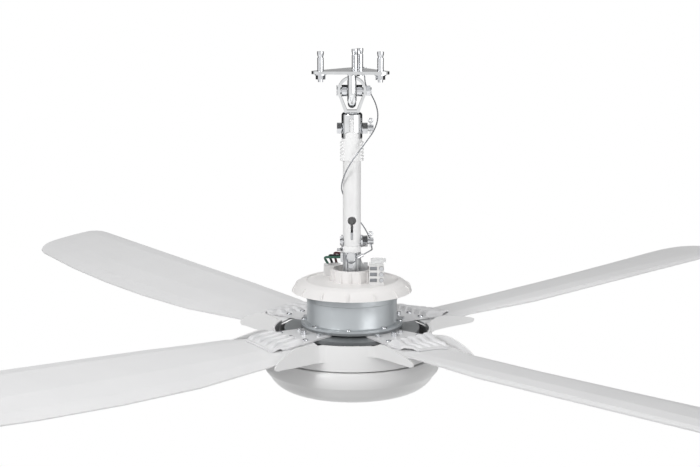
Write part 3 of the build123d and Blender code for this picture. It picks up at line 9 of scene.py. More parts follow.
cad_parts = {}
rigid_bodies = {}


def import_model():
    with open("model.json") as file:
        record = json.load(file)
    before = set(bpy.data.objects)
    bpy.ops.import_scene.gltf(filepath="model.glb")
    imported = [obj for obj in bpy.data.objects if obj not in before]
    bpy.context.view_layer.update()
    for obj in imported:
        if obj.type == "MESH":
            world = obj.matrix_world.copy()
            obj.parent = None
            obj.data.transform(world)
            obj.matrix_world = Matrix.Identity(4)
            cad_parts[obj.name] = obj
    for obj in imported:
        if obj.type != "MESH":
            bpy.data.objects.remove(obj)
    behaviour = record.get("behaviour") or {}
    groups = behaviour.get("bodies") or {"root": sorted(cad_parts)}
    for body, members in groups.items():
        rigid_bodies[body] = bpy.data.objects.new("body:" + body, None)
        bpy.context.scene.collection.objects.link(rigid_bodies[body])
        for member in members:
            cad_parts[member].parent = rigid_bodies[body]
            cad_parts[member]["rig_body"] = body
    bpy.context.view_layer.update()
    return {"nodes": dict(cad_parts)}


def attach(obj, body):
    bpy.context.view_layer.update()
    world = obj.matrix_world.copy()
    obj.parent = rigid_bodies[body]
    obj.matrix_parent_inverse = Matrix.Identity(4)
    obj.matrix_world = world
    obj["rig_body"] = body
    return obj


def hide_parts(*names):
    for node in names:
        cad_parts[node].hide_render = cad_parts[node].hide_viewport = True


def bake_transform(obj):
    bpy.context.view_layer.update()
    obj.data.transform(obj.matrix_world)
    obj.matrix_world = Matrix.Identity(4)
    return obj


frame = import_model()

bl_info = {
    "name": "Ceiling fan",
    "version": (1, 0, 0),
    "blender": (4, 5, 0),
    "location": "View3D > Sidebar > Ceiling fan",
    "description": "Dresses the packed ceiling fan with its finished surfaces, cords and stage",
    "category": "Object",
}

MM = 0.001

# The blades in order, the first one's azimuth and the turn from one to the next, in degrees
BLADE_SIDES = ("back_right", "back_left", "front_left", "front_right")
FIRST_BLADE = 41.0
BLADE_TURN = 90.0

# A copied mesh: how near its points are joined, and below which angles it is flat or soft
MERGE = 0.002 * MM
FLAT_ANGLE = 0.5
SOFT_ANGLE = 32.0
DOME_SOFT_ANGLE = 9.0

# A blade's crease: its least angle, and how nearly its edges run along the blade
CREASE_ANGLE = 2.0
CREASE_ALONG = 0.9


# Sizes and colours


class FanSizes(bpy.types.PropertyGroup):
    """Sizes of the dressed fan."""

    wire_diameter: bpy.props.FloatProperty(
        name="Safety wire", description="Diameter of the safety wire",
        default=1.5 * MM, unit="LENGTH",
    )
    lead_diameter: bpy.props.FloatProperty(
        name="Lead", description="Diameter of one lead", default=3.0 * MM, unit="LENGTH",
    )
    edge_round: bpy.props.FloatProperty(
        name="Edge rounding", description="Rounding of machined edges",
        default=0.35 * MM, unit="LENGTH",
    )


class FanColours(bpy.types.PropertyGroup):
    """Colours of the dressed fan."""

    blade: bpy.props.FloatVectorProperty(
        name="Blades", description="Moulded plastic of the blades", subtype="COLOR",
        size=3, min=0, max=1, default=(0.775, 0.775, 0.78),
    )
    bowl: bpy.props.FloatVectorProperty(
        name="Lower cover", description="Plastic of the skirt and the bowl", subtype="COLOR",
        size=3, min=0, max=1, default=(0.81, 0.81, 0.81),
    )
    cover: bpy.props.FloatVectorProperty(
        name="Top cover", description="Warm white plastic of the top cover", subtype="COLOR",
        size=3, min=0, max=1, default=(0.84, 0.825, 0.815),
    )
    motor: bpy.props.FloatVectorProperty(
        name="Motor", description="Blue-grey paint of the motor", subtype="COLOR",
        size=3, min=0, max=1, default=(0.50, 0.53, 0.55),
    )


# Materials

# Most of a noise texture's values lie between these two
NOISE_LOW = 0.3
NOISE_HIGH = 0.7

PLASTIC_IOR = 1.48
PLASTIC_GLOSS = 0.3
CLEAR_IOR = 1.49
CLEAR_TRANSMISSION = 0.55
CLEAR_ALPHA = 0.72
PAINT_COAT = 0.25
COAT_ROUGHNESS = 0.18

# The copper's turns of wire: bands per metre, how much they waver and how rough they are
COPPER_BANDS = 700.0
COPPER_WAVER = 0.6
COPPER_ROUGHNESS = 0.3


def node_tree(name):
    """A new material and its Principled shader."""
    material = bpy.data.materials.new(name)
    material.use_nodes = True
    return material, material.node_tree, material.node_tree.nodes["Principled BSDF"]


def object_noise(tree, scale, detail=3.0, roughness=0.5, stretch=(1, 1, 1)):
    """Noise on object coordinates, in cells per metre."""
    coordinates = tree.nodes.new("ShaderNodeTexCoord")
    mapping = tree.nodes.new("ShaderNodeMapping")
    mapping.inputs["Scale"].default_value = stretch
    noise = tree.nodes.new("ShaderNodeTexNoise")
    noise.inputs["Scale"].default_value = scale
    noise.inputs["Detail"].default_value = detail
    noise.inputs["Roughness"].default_value = roughness
    tree.links.new(coordinates.outputs["Object"], mapping.inputs["Vector"])
    tree.links.new(mapping.outputs["Vector"], noise.inputs["Vector"])
    return noise.outputs["Fac"]


def ranged(tree, value, low, high):
    """A noise value spread between two limits."""
    spread = tree.nodes.new("ShaderNodeMapRange")
    spread.inputs["From Min"].default_value = NOISE_LOW
    spread.inputs["From Max"].default_value = NOISE_HIGH
    spread.inputs["To Min"].default_value = low
    spread.inputs["To Max"].default_value = high
    tree.links.new(value, spread.inputs["Value"])
    return spread.outputs["Result"]


def two_tone(tree, shader, factor, first, second):
    """Base colour drifting between two tones."""
    mix = tree.nodes.new("ShaderNodeMix")
    mix.data_type = "RGBA"
    mix.inputs["A"].default_value = (*first, 1)
    mix.inputs["B"].default_value = (*second, 1)
    tree.links.new(factor, mix.inputs["Factor"])
    tree.links.new(mix.outputs["Result"], shader.inputs["Base Color"])


def bumped(tree, shader, height, distance, strength):
    """Fine relief of a stated depth."""
    bump = tree.nodes.new("ShaderNodeBump")
    bump.inputs["Strength"].default_value = strength
    bump.inputs["Distance"].default_value = distance
    tree.links.new(height, bump.inputs["Height"])
    tree.links.new(bump.outputs["Normal"], shader.inputs["Normal"])


def shade(colour, share):
    """A colour made darker or lighter by a share."""
    return tuple(min(channel * share, 1.0) for channel in colour)


def moulded_plastic(name, colour, rough):
    """Injection-moulded plastic: slow tone drift, fine spark-eroded grain."""
    material, tree, shader = node_tree(name)
    drift = ranged(tree, object_noise(tree, scale=14.0, detail=2.0), 0.0, 1.0)
    two_tone(tree, shader, drift, shade(colour, 0.985), shade(colour, 1.015))
    patches = object_noise(tree, scale=60.0, detail=4.0)
    tree.links.new(ranged(tree, patches, rough - 0.04, rough + 0.05), shader.inputs["Roughness"])
    grain = object_noise(tree, scale=1500.0, detail=2.0)
    bumped(tree, shader, grain, distance=0.03 * MM, strength=0.35)
    shader.inputs["IOR"].default_value = PLASTIC_IOR
    shader.inputs["Specular IOR Level"].default_value = PLASTIC_GLOSS
    return material


def painted_metal(name, colour, rough, metallic=0.0):
    """Sprayed or powder-coated metal with a slight orange peel."""
    material, tree, shader = node_tree(name)
    drift = ranged(tree, object_noise(tree, scale=30.0, detail=3.0), 0.0, 1.0)
    two_tone(tree, shader, drift, shade(colour, 0.97), shade(colour, 1.03))
    patches = object_noise(tree, scale=90.0, detail=4.0)
    tree.links.new(ranged(tree, patches, rough - 0.05, rough + 0.05), shader.inputs["Roughness"])
    peel = object_noise(tree, scale=450.0, detail=1.0)
    bumped(tree, shader, peel, distance=0.012 * MM, strength=0.3)
    shader.inputs["Metallic"].default_value = metallic
    shader.inputs["Coat Weight"].default_value = PAINT_COAT
    shader.inputs["Coat Roughness"].default_value = COAT_ROUGHNESS
    return material


def plated_metal(name, colour, rough, scratch=(1, 1, 1), grain=700.0, relief=0.01):
    """Plated or zinc-coated steel with faint handling marks."""
    material, tree, shader = node_tree(name)
    drift = ranged(tree, object_noise(tree, scale=120.0, detail=4.0), 0.0, 1.0)
    two_tone(tree, shader, drift, shade(colour, 0.93), shade(colour, 1.05))
    marks = object_noise(tree, scale=grain, detail=5.0, roughness=0.6, stretch=scratch)
    tree.links.new(ranged(tree, marks, rough - 0.06, rough + 0.06), shader.inputs["Roughness"])
    bumped(tree, shader, marks, distance=relief * MM, strength=0.25)
    shader.inputs["Metallic"].default_value = 1.0
    return material


def clear_plastic(name, colour):
    """Clear moulded plastic, slightly frosted."""
    material, tree, shader = node_tree(name)
    patches = object_noise(tree, scale=300.0)
    tree.links.new(ranged(tree, patches, 0.12, 0.24), shader.inputs["Roughness"])
    drift = ranged(tree, object_noise(tree, scale=80.0), 0.0, 1.0)
    two_tone(tree, shader, drift, shade(colour, 0.97), colour)
    bumped(tree, shader, patches, distance=0.02 * MM, strength=0.3)
    shader.inputs["Transmission Weight"].default_value = CLEAR_TRANSMISSION
    shader.inputs["Alpha"].default_value = CLEAR_ALPHA
    shader.inputs["IOR"].default_value = CLEAR_IOR
    return material


def wound_copper(name, colour):
    """Enamelled wire wound round the teeth: fine parallel turns."""
    material, tree, shader = node_tree(name)
    coordinates = tree.nodes.new("ShaderNodeTexCoord")
    waves = tree.nodes.new("ShaderNodeTexWave")
    waves.inputs["Scale"].default_value = COPPER_BANDS
    waves.inputs["Distortion"].default_value = COPPER_WAVER
    waves.bands_direction = "Z"
    tree.links.new(coordinates.outputs["Object"], waves.inputs["Vector"])
    two_tone(tree, shader, waves.outputs["Fac"], shade(colour, 0.6), colour)
    bumped(tree, shader, waves.outputs["Fac"], distance=0.2 * MM, strength=0.8)
    shader.inputs["Metallic"].default_value = 0.9
    shader.inputs["Roughness"].default_value = COPPER_ROUGHNESS
    return material


def make_materials(colours):
    """Every finish of the fan, by the name of its material slot."""
    return {
        "plate_paint": plated_metal("plated_sheet", (0.72, 0.73, 0.74), 0.2),
        "zinc": plated_metal("bright_zinc", (0.68, 0.69, 0.71), 0.2),
        "hanger_chrome": plated_metal("polished_chrome", (0.78, 0.79, 0.80), 0.09),
        "pipe_metal": painted_metal("pipe_paint", (0.89, 0.89, 0.89), 0.36),
        "roller_rubber": moulded_plastic("roller_rubber", (0.035, 0.035, 0.037), 0.6),
        "sleeve_plastic": moulded_plastic("sleeve_plastic", (0.97, 0.97, 0.97), 0.4),
        "cover_plastic": moulded_plastic("cover_plastic", tuple(colours.cover), 0.36),
        "terminal_plastic": moulded_plastic("terminal_plastic", (0.78, 0.775, 0.77), 0.42),
        "flap_plastic": clear_plastic("flap_plastic", (0.95, 0.96, 0.965)),
        "lead_green": moulded_plastic("green_insulation", (0.04, 0.12, 0.085), 0.38),
        "lead_black": moulded_plastic("black_insulation", (0.02, 0.02, 0.022), 0.33),
        "lead_brown": moulded_plastic("brown_insulation", (0.085, 0.025, 0.032), 0.38),
        "wire_rope": plated_metal("steel_strands", (0.30, 0.31, 0.33), 0.36),
        "motor_paint": painted_metal("motor_paint", tuple(colours.motor), 0.34, metallic=0.3),
        # The motor's foot: the motor's blue-grey darkened to 0.42, painted shade for its underside
        # below the flange
        "foot_painted_shade": painted_metal("foot_painted_shade", shade(colours.motor, 0.42), 0.4, metallic=0.2),
        "blade_plastic": moulded_plastic("blade_plastic", tuple(colours.blade), 0.4),
        "cast_zinc": plated_metal("cast_zinc", (0.68, 0.69, 0.70), 0.4),
        "iron_metal": painted_metal("iron_paint", (0.77, 0.77, 0.78), 0.34),
        "bowl_plastic": moulded_plastic("bowl_plastic", tuple(colours.bowl), 0.33),
        # The mounting pan in near-black: a dark sheet under the motor that makes the inside of the
        # skirt look dark, painted shade
        "pan_paint": painted_metal("black_pan_painted_shade", (0.02, 0.02, 0.022), 0.45),
        "bearing_steel": plated_metal(
            "ground_steel", (0.55, 0.56, 0.58), 0.34, scratch=(1, 1, 8),
        ),
        "core_steel": plated_metal(
            "stacked_sheets", (0.32, 0.33, 0.35), 0.45, scratch=(1, 1, 30), grain=60.0, relief=0.2,
        ),
        "magnet": painted_metal("ground_ferrite", (0.10, 0.10, 0.105), 0.5),
        "copper": wound_copper("enamelled_copper", (0.70, 0.32, 0.14)),
        "board": moulded_plastic("board_lacquer", (0.03, 0.16, 0.07), 0.34),
    }


# Meshes


def new_piece(name, mesh, body, slot_name, nodes=(), finish=None):
    """A finished piece that rides on a body and stands for CAD nodes."""
    piece = bpy.data.objects.new(name, mesh)
    bpy.context.scene.collection.objects.link(piece)
    mesh.materials.clear()
    mesh.materials.append(finishes[finish or slot_name])
    if nodes:
        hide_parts(*nodes)
    if body:
        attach(piece, body)
    return piece


def smooth_by_angle(mesh, degrees):
    """Smooth shading with hard edges where faces meet at more than an angle."""
    for face in mesh.polygons:
        face.use_smooth = True
    work = bmesh.new()
    work.from_mesh(mesh)
    limit = math.radians(degrees)
    for edge in work.edges:
        edge.smooth = len(edge.link_faces) == 2 and edge.calc_face_angle(0) < limit
    work.to_mesh(mesh)
    work.free()


def merged_copy(node):
    """A copy of a CAD node's mesh with its loose triangles joined."""
    mesh = frame["nodes"][node].data.copy()
    work = bmesh.new()
    work.from_mesh(mesh)
    bmesh.ops.remove_doubles(work, verts=work.verts, dist=MERGE)
    bmesh.ops.dissolve_limit(
        work, angle_limit=math.radians(FLAT_ANGLE), verts=work.verts, edges=work.edges,
        delimit={"NORMAL"},
    )
    for face in work.faces:
        face.smooth = True
    work.to_mesh(mesh)
    work.free()
    if mesh.attributes.get("custom_normal"):
        mesh.attributes.remove(mesh.attributes["custom_normal"])
    return mesh


def finished_mesh(work, name, angle):
    """The mesh of a bmesh, with its faces outwards and smooth up to an angle."""
    bmesh.ops.recalc_face_normals(work, faces=work.faces)
    mesh = bpy.data.meshes.new(name)
    work.to_mesh(mesh)
    work.free()
    smooth_by_angle(mesh, angle)
    return mesh


def dress(node, slot_name, round_edges=0.0, angle=SOFT_ANGLE, finish=None):
    """Stands a merged and smoothly shaded copy in a CAD node's place, with rounded edges."""
    mesh = merged_copy(node)
    smooth_by_angle(mesh, angle)
    body = frame["nodes"][node]["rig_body"]
    piece = new_piece(node + "_finished", mesh, body, slot_name, [node], finish)
    if round_edges:
        bevel = piece.modifiers.new("edges", "BEVEL")
        bevel.width = round_edges
        bevel.segments = 2
        bevel.limit_method = "ANGLE"
        bevel.angle_limit = math.radians(angle)
        bevel.harden_normals = False
    return piece


def finish_node(node, slot_name):
    """Gives a CAD node its finish."""
    piece = frame["nodes"][node]
    piece.data.materials.clear()
    piece.data.materials.append(finishes[slot_name])


# Top cover, in millimetres of radius and of drop under the ceiling

COVER_BORE = 8.45
COVER_TOP = 255.9
COVER_UNDERSIDE = 257.9
COLLAR_BORE = 22.8
COLLAR_RADIUS = 25.0
COLLAR_TOP = 241.0
RIM_EDGE = 268.0
RIM_RIB_EDGE = 267.9
COVER_SIDES = 160
COVER_SOFT_ANGLE = 28.0

COVER_PROFILE = (
    (COVER_BORE, COVER_TOP), (COLLAR_BORE, COVER_TOP), (COLLAR_BORE, COLLAR_TOP),
    (COLLAR_RADIUS, COLLAR_TOP), (25.5, COVER_TOP), (54.3, COVER_TOP), (55.0, 255.3),
    (55.8, 254.4), (57.4, 254.4), (58.6, 254.9), (62.0, 256.0), (65.0, 257.5), (67.6, 259.6),
    (69.8, 262.2), (71.7, 265.0), (73.4, RIM_EDGE), (71.4, RIM_EDGE), (69.4, 264.6),
    (66.5, 261.6), (63.0, 259.4), (57.7, COVER_UNDERSIDE), (COVER_BORE, COVER_UNDERSIDE),
)
RIM_RIB = ((66.0, 261.0), (72.0, RIM_RIB_EDGE), (74.2, RIM_RIB_EDGE), (72.2, 262.2), (68.0, 258.9))
COLLAR_GUSSET = ((24.5, 255.95), (27.6, 255.95), (26.2, 243.0), (24.5, 243.0))
COVER_RIBS = 14
COVER_RIB_AZIMUTH = 266.3
COVER_RIB_HALF = 0.6
SLAB_SOFT_ANGLE = 10.0


# Clamps in the terminals, in millimetres: their drops, how far forward and how far to the right

TERMINAL_DROPS = (235.5, 242.8, 250.1)
CLAMP_FORWARD = 27.4
CLAMP_NEAR = 21.9
CLAMP_FAR = 30.1
CLAMP_HALF_HEIGHT = 2.1
CLAMP_HALF_DEPTH = 1.2


# Screws: head radius, head height, shank radius and shank length, in millimetres

MOTOR_SCREW = (2.9, 1.8, 1.9, 5.6)
BLADE_SCREW = (3.4, 1.8, 1.9, 6.4)
PAN_SCREW = (2.9, 1.8, 1.9, 8.0)
SCREW_SIDES = 24
SCREW_SOFT_ANGLE = 40.0

# Shares of a head's radius and height, up from its seat to the edge of its flat top
HEAD_SHARES = ((1.0, 0.0), (1.0, 0.45), (0.92, 0.75), (0.74, 0.95), (0.66, 1.0))
RECESS_REACH_SHARE = 0.52
RECESS_HALF_SHARE = 0.13
RECESS_TAPER_SHARE = 0.8
RECESS_FLOOR_SHARE = 0.3

MOTOR_SCREWS = 8
MOTOR_SCREW_CIRCLE = 59.0
MOTOR_SCREW_AZIMUTH = 266.0
MOTOR_SCREW_DROP = 306.0
MOTOR_SCREW_TWIST = 17.0
PAN_SCREW_CIRCLE = 40.0
PAN_SCREW_DROP = 340.1
PAN_SCREW_TWIST = 23.0


# Things that repeat


def repeat_tree():
    """Stands one small piece on every point, turned as the point says."""
    tree = bpy.data.node_groups.new("repeated_piece", "GeometryNodeTree")
    socket = tree.interface.new_socket
    socket("Places", in_out="INPUT", socket_type="NodeSocketGeometry")
    socket("Piece", in_out="INPUT", socket_type="NodeSocketObject")
    socket("Size", in_out="INPUT", socket_type="NodeSocketFloat").default_value = 1.0
    socket("Finish", in_out="INPUT", socket_type="NodeSocketMaterial")
    socket("Pieces", in_out="OUTPUT", socket_type="NodeSocketGeometry")
    start = tree.nodes.new("NodeGroupInput")
    piece = tree.nodes.new("GeometryNodeObjectInfo")
    turn = tree.nodes.new("GeometryNodeInputNamedAttribute")
    turn.data_type = "FLOAT_VECTOR"
    turn.inputs["Name"].default_value = "turn"
    stand = tree.nodes.new("GeometryNodeInstanceOnPoints")
    realize = tree.nodes.new("GeometryNodeRealizeInstances")
    finish = tree.nodes.new("GeometryNodeSetMaterial")
    end = tree.nodes.new("NodeGroupOutput")
    tree.links.new(start.outputs["Piece"], piece.inputs["Object"])
    tree.links.new(start.outputs["Places"], stand.inputs["Points"])
    tree.links.new(piece.outputs["Geometry"], stand.inputs["Instance"])
    tree.links.new(turn.outputs["Attribute"], stand.inputs["Rotation"])
    tree.links.new(start.outputs["Size"], stand.inputs["Scale"])
    tree.links.new(stand.outputs["Instances"], realize.inputs["Geometry"])
    tree.links.new(realize.outputs["Geometry"], finish.inputs["Geometry"])
    tree.links.new(start.outputs["Finish"], finish.inputs["Material"])
    tree.links.new(finish.outputs["Geometry"], end.inputs["Pieces"])
    return tree


def repeated(name, pattern, places, slot_name):
    """One plain mesh of a small piece standing at every place (point, turn in degrees)."""
    tree = bpy.data.node_groups.get("repeated_piece") or repeat_tree()
    helper = bpy.data.objects.new(name + "_pattern", pattern)
    points = bpy.data.meshes.new(name + "_places")
    points.from_pydata([place for place, turn in places], [], [])
    turns = points.attributes.new("turn", "FLOAT_VECTOR", "POINT")
    for item, (place, turn) in zip(turns.data, places):
        item.vector = [math.radians(angle) for angle in turn]
    holder = bpy.data.objects.new(name + "_holder", points)
    for each in (helper, holder):
        bpy.context.scene.collection.objects.link(each)
    modifier = holder.modifiers.new("repeated", "NODES")
    modifier.node_group = tree
    given = {"Piece": helper, "Size": 1.0, "Finish": finishes[slot_name]}
    for item in tree.interface.items_tree:
        if item.in_out == "INPUT" and item.name in given:
            modifier[item.identifier] = given[item.name]
    graph = bpy.context.evaluated_depsgraph_get()
    mesh = bpy.data.meshes.new_from_object(holder.evaluated_get(graph))
    for each in (helper, holder):
        bpy.data.objects.remove(each)
    mesh.name = name
    return mesh


def ring(work, radius, height, count):
    """One ring of vertices."""
    angles = [math.tau * step / count for step in range(count)]
    return [
        work.verts.new((radius * math.cos(angle), radius * math.sin(angle), height))
        for angle in angles
    ]


def bridge(work, low, high):
    """Faces between two rings of the same count."""
    for step in range(len(low)):
        following = (step + 1) % len(low)
        work.faces.new((low[step], low[following], high[following], high[step]))


def lathe_mesh(name, profile, count, angle):
    """A closed profile of (radius, height) turned round the upright axis."""
    work = bmesh.new()
    rings = [ring(work, radius, height, count) for radius, height in profile]
    for low, high in zip(rings, rings[1:] + rings[:1]):
        bridge(work, low, high)
    return finished_mesh(work, name, angle)


def screw_mesh(name, screw):
    """A domed screw head with a cross recess, on a plain shank."""
    head, height, shank, depth = (size * MM for size in screw)
    work = bmesh.new()
    rings = [ring(work, shank, -depth, SCREW_SIDES), ring(work, shank, 0.0, SCREW_SIDES)]
    for share, rise in HEAD_SHARES:
        rings.append(ring(work, head * share, height * rise, SCREW_SIDES))
    for low, high in zip(rings, rings[1:]):
        bridge(work, low, high)
    work.faces.new(list(reversed(rings[0])))
    arm, half = head * RECESS_REACH_SHARE, head * RECESS_HALF_SHARE
    outline = [
        (arm, -half), (arm, half), (half, half), (half, arm), (-half, arm), (-half, half),
        (-arm, half), (-arm, -half), (-half, -half), (-half, -arm), (half, -arm), (half, -half),
    ]
    taper, sunk = RECESS_TAPER_SHARE, height * RECESS_FLOOR_SHARE
    upper = [work.verts.new((x, y, height)) for x, y in outline]
    floor = [work.verts.new((x * taper, y * taper, sunk)) for x, y in outline]
    bridge(work, upper, floor)
    work.faces.new(floor)
    edges = [edge for edge in work.edges if len(edge.link_faces) == 1]
    bmesh.ops.triangle_fill(work, edges=edges, use_beauty=True)
    return finished_mesh(work, name, SCREW_SOFT_ANGLE)


def slab_mesh(name, outline, half):
    """A flat piece of even thickness across y, from its outline of x and drop."""
    work = bmesh.new()
    sides = [
        [work.verts.new((x * MM, y * MM, -drop * MM)) for x, drop in outline] for y in (-half, half)
    ]
    bridge(work, *sides)
    for side in sides:
        work.faces.new(side)
    return finished_mesh(work, name, SLAB_SOFT_ANGLE)


def on_circle(radius, azimuth, drop):
    """A point by its radius, azimuth and drop under the ceiling, in millimetres and degrees."""
    angle = math.radians(azimuth)
    return (radius * MM * math.cos(angle), radius * MM * math.sin(angle), -drop * MM)


# Blade irons, in millimetres, u outwards along a blade and v to its left seen from above

IRON_TOP_DROP = 311.9
IRON_SHEET = 2.0
IRON_GAP = 0.4
IRON_FLAT_REACH = 101.0
IRON_REACHES = (53.0, 84.0, IRON_FLAT_REACH, 123.0, 134.0, 145.0)
IRON_HALF_WIDTHS = (24.0, 30.0, 32.5, 32.5, 28.5, 23.0)
IRON_STEP = 1.0
IRON_SOFT_ANGLE = 50.0
LOOK_DOWN_FROM = 100.0
RIB_COUNT = 5
RIB_PITCH = 12.6
RIB_START = 99.5
RIB_REACHES = (0.0, 97.0, RIB_START, 103.0, 108.0, 118.0, 136.0, 142.0, 145.0)
RIB_RISES = (0.0, 0.0, 1.4, 4.8, 5.4, 4.0, 2.6, 0.0, 0.0)
RIB_SWAY = 2.2
RIB_WAVE = 34.0
RIB_VALLEY_SHARE = 0.12
RIB_FLANK_SHARE = 0.72
BLADE_SCREWS = ((93.5, -24.0), (93.5, 24.0), (96.4, 0.0))


def reading(place, places, values):
    """Straight-line reading, in metres, of a table in millimetres."""
    for low, high, start, end in zip(places, places[1:], values, values[1:]):
        if place <= high * MM:
            share = (place / MM - low) / (high - low)
            return (start + (end - start) * max(share, 0.0)) * MM
    return values[-1] * MM


def rib_lift(u, v):
    """How far the pressed ribs stand above the iron's sheet."""
    sway = RIB_SWAY * MM * math.sin(math.tau * (u - RIB_START * MM) / (RIB_WAVE * MM))
    place = (v - sway) / (RIB_PITCH * MM) + RIB_COUNT / 2
    if not 0 <= place <= RIB_COUNT:
        return 0.0
    rise = (math.sin(math.pi * (place % 1.0)) - RIB_VALLEY_SHARE) / RIB_FLANK_SHARE
    rise = min(max(rise, 0.0), 1.0)
    return reading(u, RIB_REACHES, RIB_RISES) * rise * rise * (3 - 2 * rise)


def iron_row(blade, turn, u, columns):
    """Pairs of an upper and a lower point across the iron, at one reach along the blade."""
    half = reading(u, IRON_REACHES, IRON_HALF_WIDTHS)
    seat, sheet = -IRON_TOP_DROP * MM, IRON_SHEET * MM
    pairs = []
    for column in range(columns + 1):
        v = half * (2 * column / columns - 1)
        bottom = seat - sheet
        if u > IRON_FLAT_REACH * MM:
            above = turn @ Vector((u, v, seat + LOOK_DOWN_FROM * MM))
            hit = blade.ray_cast(above, Vector((0, 0, -1)))[0]
            if hit:
                bottom = hit.z + IRON_GAP * MM
        bottom += rib_lift(u, v)
        pairs.append((turn @ Vector((u, v, bottom + sheet)), turn @ Vector((u, v, bottom))))
    return pairs


def rim(grid):
    """The outer vertices of a grid of rows, in order round its edge."""
    around = grid[0][:-1] + [row[-1] for row in grid[:-1]] + grid[-1][:0:-1]
    return around + [row[0] for row in grid[:0:-1]]


def iron_mesh(name, side, azimuth):
    """A pressed sheet, flat on the motor's foot, whose ribs run down onto the blade."""
    data = frame["nodes"]["blade_" + side].data
    blade = BVHTree.FromPolygons(
        [vertex.co for vertex in data.vertices], [tuple(face.vertices) for face in data.polygons],
    )
    turn = Matrix.Rotation(math.radians(azimuth), 4, "Z")
    start, end = IRON_REACHES[0] * MM, IRON_REACHES[-1] * MM
    rows = round((end - start) / (IRON_STEP * MM))
    columns = round(2 * max(IRON_HALF_WIDTHS) / IRON_STEP)
    work = bmesh.new()
    tops, bottoms = [], []
    for row in range(rows + 1):
        pairs = iron_row(blade, turn, start + (end - start) * row / rows, columns)
        made = [(work.verts.new(high), work.verts.new(low)) for high, low in pairs]
        tops.append([high for high, low in made])
        bottoms.append([low for high, low in made])
    for row in range(rows):
        for column in range(columns):
            for grid, order in ((tops, 1), (bottoms, -1)):
                corners = (
                    grid[row][column], grid[row + 1][column],
                    grid[row + 1][column + 1], grid[row][column + 1],
                )
                work.faces.new(corners[::order])
    bridge(work, rim(tops), rim(bottoms))
    return finished_mesh(work, name, IRON_SOFT_ANGLE)


def mark_creases(mesh, azimuth, degrees):
    """Hard edges where a crease runs along a blade."""
    along = Vector((math.cos(math.radians(azimuth)), math.sin(math.radians(azimuth)), 0))
    work = bmesh.new()
    work.from_mesh(mesh)
    for edge in work.edges:
        direction = (edge.verts[1].co - edge.verts[0].co).normalized()
        runs_along = abs(direction.dot(along)) > CREASE_ALONG
        if runs_along and edge.calc_face_angle(0) > math.radians(degrees):
            edge.smooth = False
    work.to_mesh(mesh)
    work.free()


# Cords

CORD_ORDER = 3
CORD_STEPS = 12
CORD_ROUNDNESS = 4
ROPE_STEP = 0.5 * MM
ROPE_STRANDS = 7
ROPE_PITCH = 9.0 * MM
POINTS_A_STRAND = 6
ROPE_VALLEY_SHARE = 0.82
ROPE_SOFT_ANGLE = 180.0

WIRE_ROUTE_MM = (
    (15.6, 50.6, -9.5),
    (15.6, 50.6, -20.0),
    (22.5, 41.0, -30.0),
    (30.0, 25.5, -44.0),
    (32.0, 8.0, -58.0),
    (27.0, -8.5, -71.5),
    (16.5, -17.0, -85.0),
    (6.5, -19.5, -98.0),
    (-3.5, -18.0, -112.5),
    (-10.0, -13.5, -127.0),
    (-12.6, -5.5, -137.5),
    (-12.4, 6.0, -147.5),
    (-6.0, 14.2, -162.0),
    (4.5, 16.4, -179.5),
    (15.5, 14.6, -193.0),
    (22.5, 12.6, -207.5),
    (24.9, 3.2, -218.6),
    (23.995, -8.415, -216.93),
    (13.3, -12.6, -222.2),
)

LEAD_ROUTES_MM = {
    "green": (
        (-12.712, 3.182, -228.0), (-24.0, 9.7, -229.5), (-33.0, 19.0, -231.0),
        (-33.5, 26.5, -235.0), (-29.75, 27.7, -240.8),
    ),
    "black": (
        (-10.912, 6.3, -226.5), (-21.0, 12.7, -228.0), (-28.0, 23.5, -229.5),
        (-27.5, 32.0, -233.5), (-24.5, 32.833, -240.8),
    ),
    "brown": (
        (-9.112, 9.418, -225.0), (-17.0, 15.0, -225.0), (-21.5, 26.0, -227.0),
        (-21.5, 33.5, -231.5), (-19.25, 34.0, -240.8),
    ),
}


def in_metres(route):
    """A route's points in metres."""
    return [tuple(value * MM for value in point) for point in route]


def nurbs_curve(name, points, radius):
    """A curve object of one open NURBS spline through a cord's route."""
    curve = bpy.data.curves.new(name, "CURVE")
    curve.dimensions = "3D"
    spline = curve.splines.new("NURBS")
    spline.points.add(len(points) - 1)
    for target, point in zip(spline.points, points):
        target.co = (*point, 1)
    spline.order_u = CORD_ORDER
    spline.use_endpoint_u = True
    spline.resolution_u = CORD_STEPS
    curve.bevel_depth = radius
    curve.bevel_resolution = CORD_ROUNDNESS
    curve.use_fill_caps = True
    return bpy.data.objects.new(name, curve)


def spline_points(route):
    """Points along the smooth line of a route."""
    holder = nurbs_curve("route_line", route, 0.0)
    holder.data.use_fill_caps = False
    bpy.context.scene.collection.objects.link(holder)
    graph = bpy.context.evaluated_depsgraph_get()
    mesh = bpy.data.meshes.new_from_object(holder.evaluated_get(graph))
    points = [vertex.co.copy() for vertex in mesh.vertices]
    bpy.data.objects.remove(holder)
    bpy.data.meshes.remove(mesh)
    return points


def resampled(points, spacing):
    """The same line with even steps."""
    lengths = [0.0]
    for first, second in zip(points, points[1:]):
        lengths.append(lengths[-1] + (second - first).length)
    count = max(int(round(lengths[-1] / spacing)), 2)
    made = []
    place = 0
    for index in range(count + 1):
        target = lengths[-1] * index / count
        while place < len(points) - 2 and lengths[place + 1] < target:
            place += 1
        span = lengths[place + 1] - lengths[place]
        share = (target - lengths[place]) / span if span else 0.0
        made.append(points[place].lerp(points[place + 1], min(max(share, 0.0), 1.0)))
    return made


def line_length(points):
    """The length of a line of points."""
    return sum((second - first).length for first, second in zip(points, points[1:]))


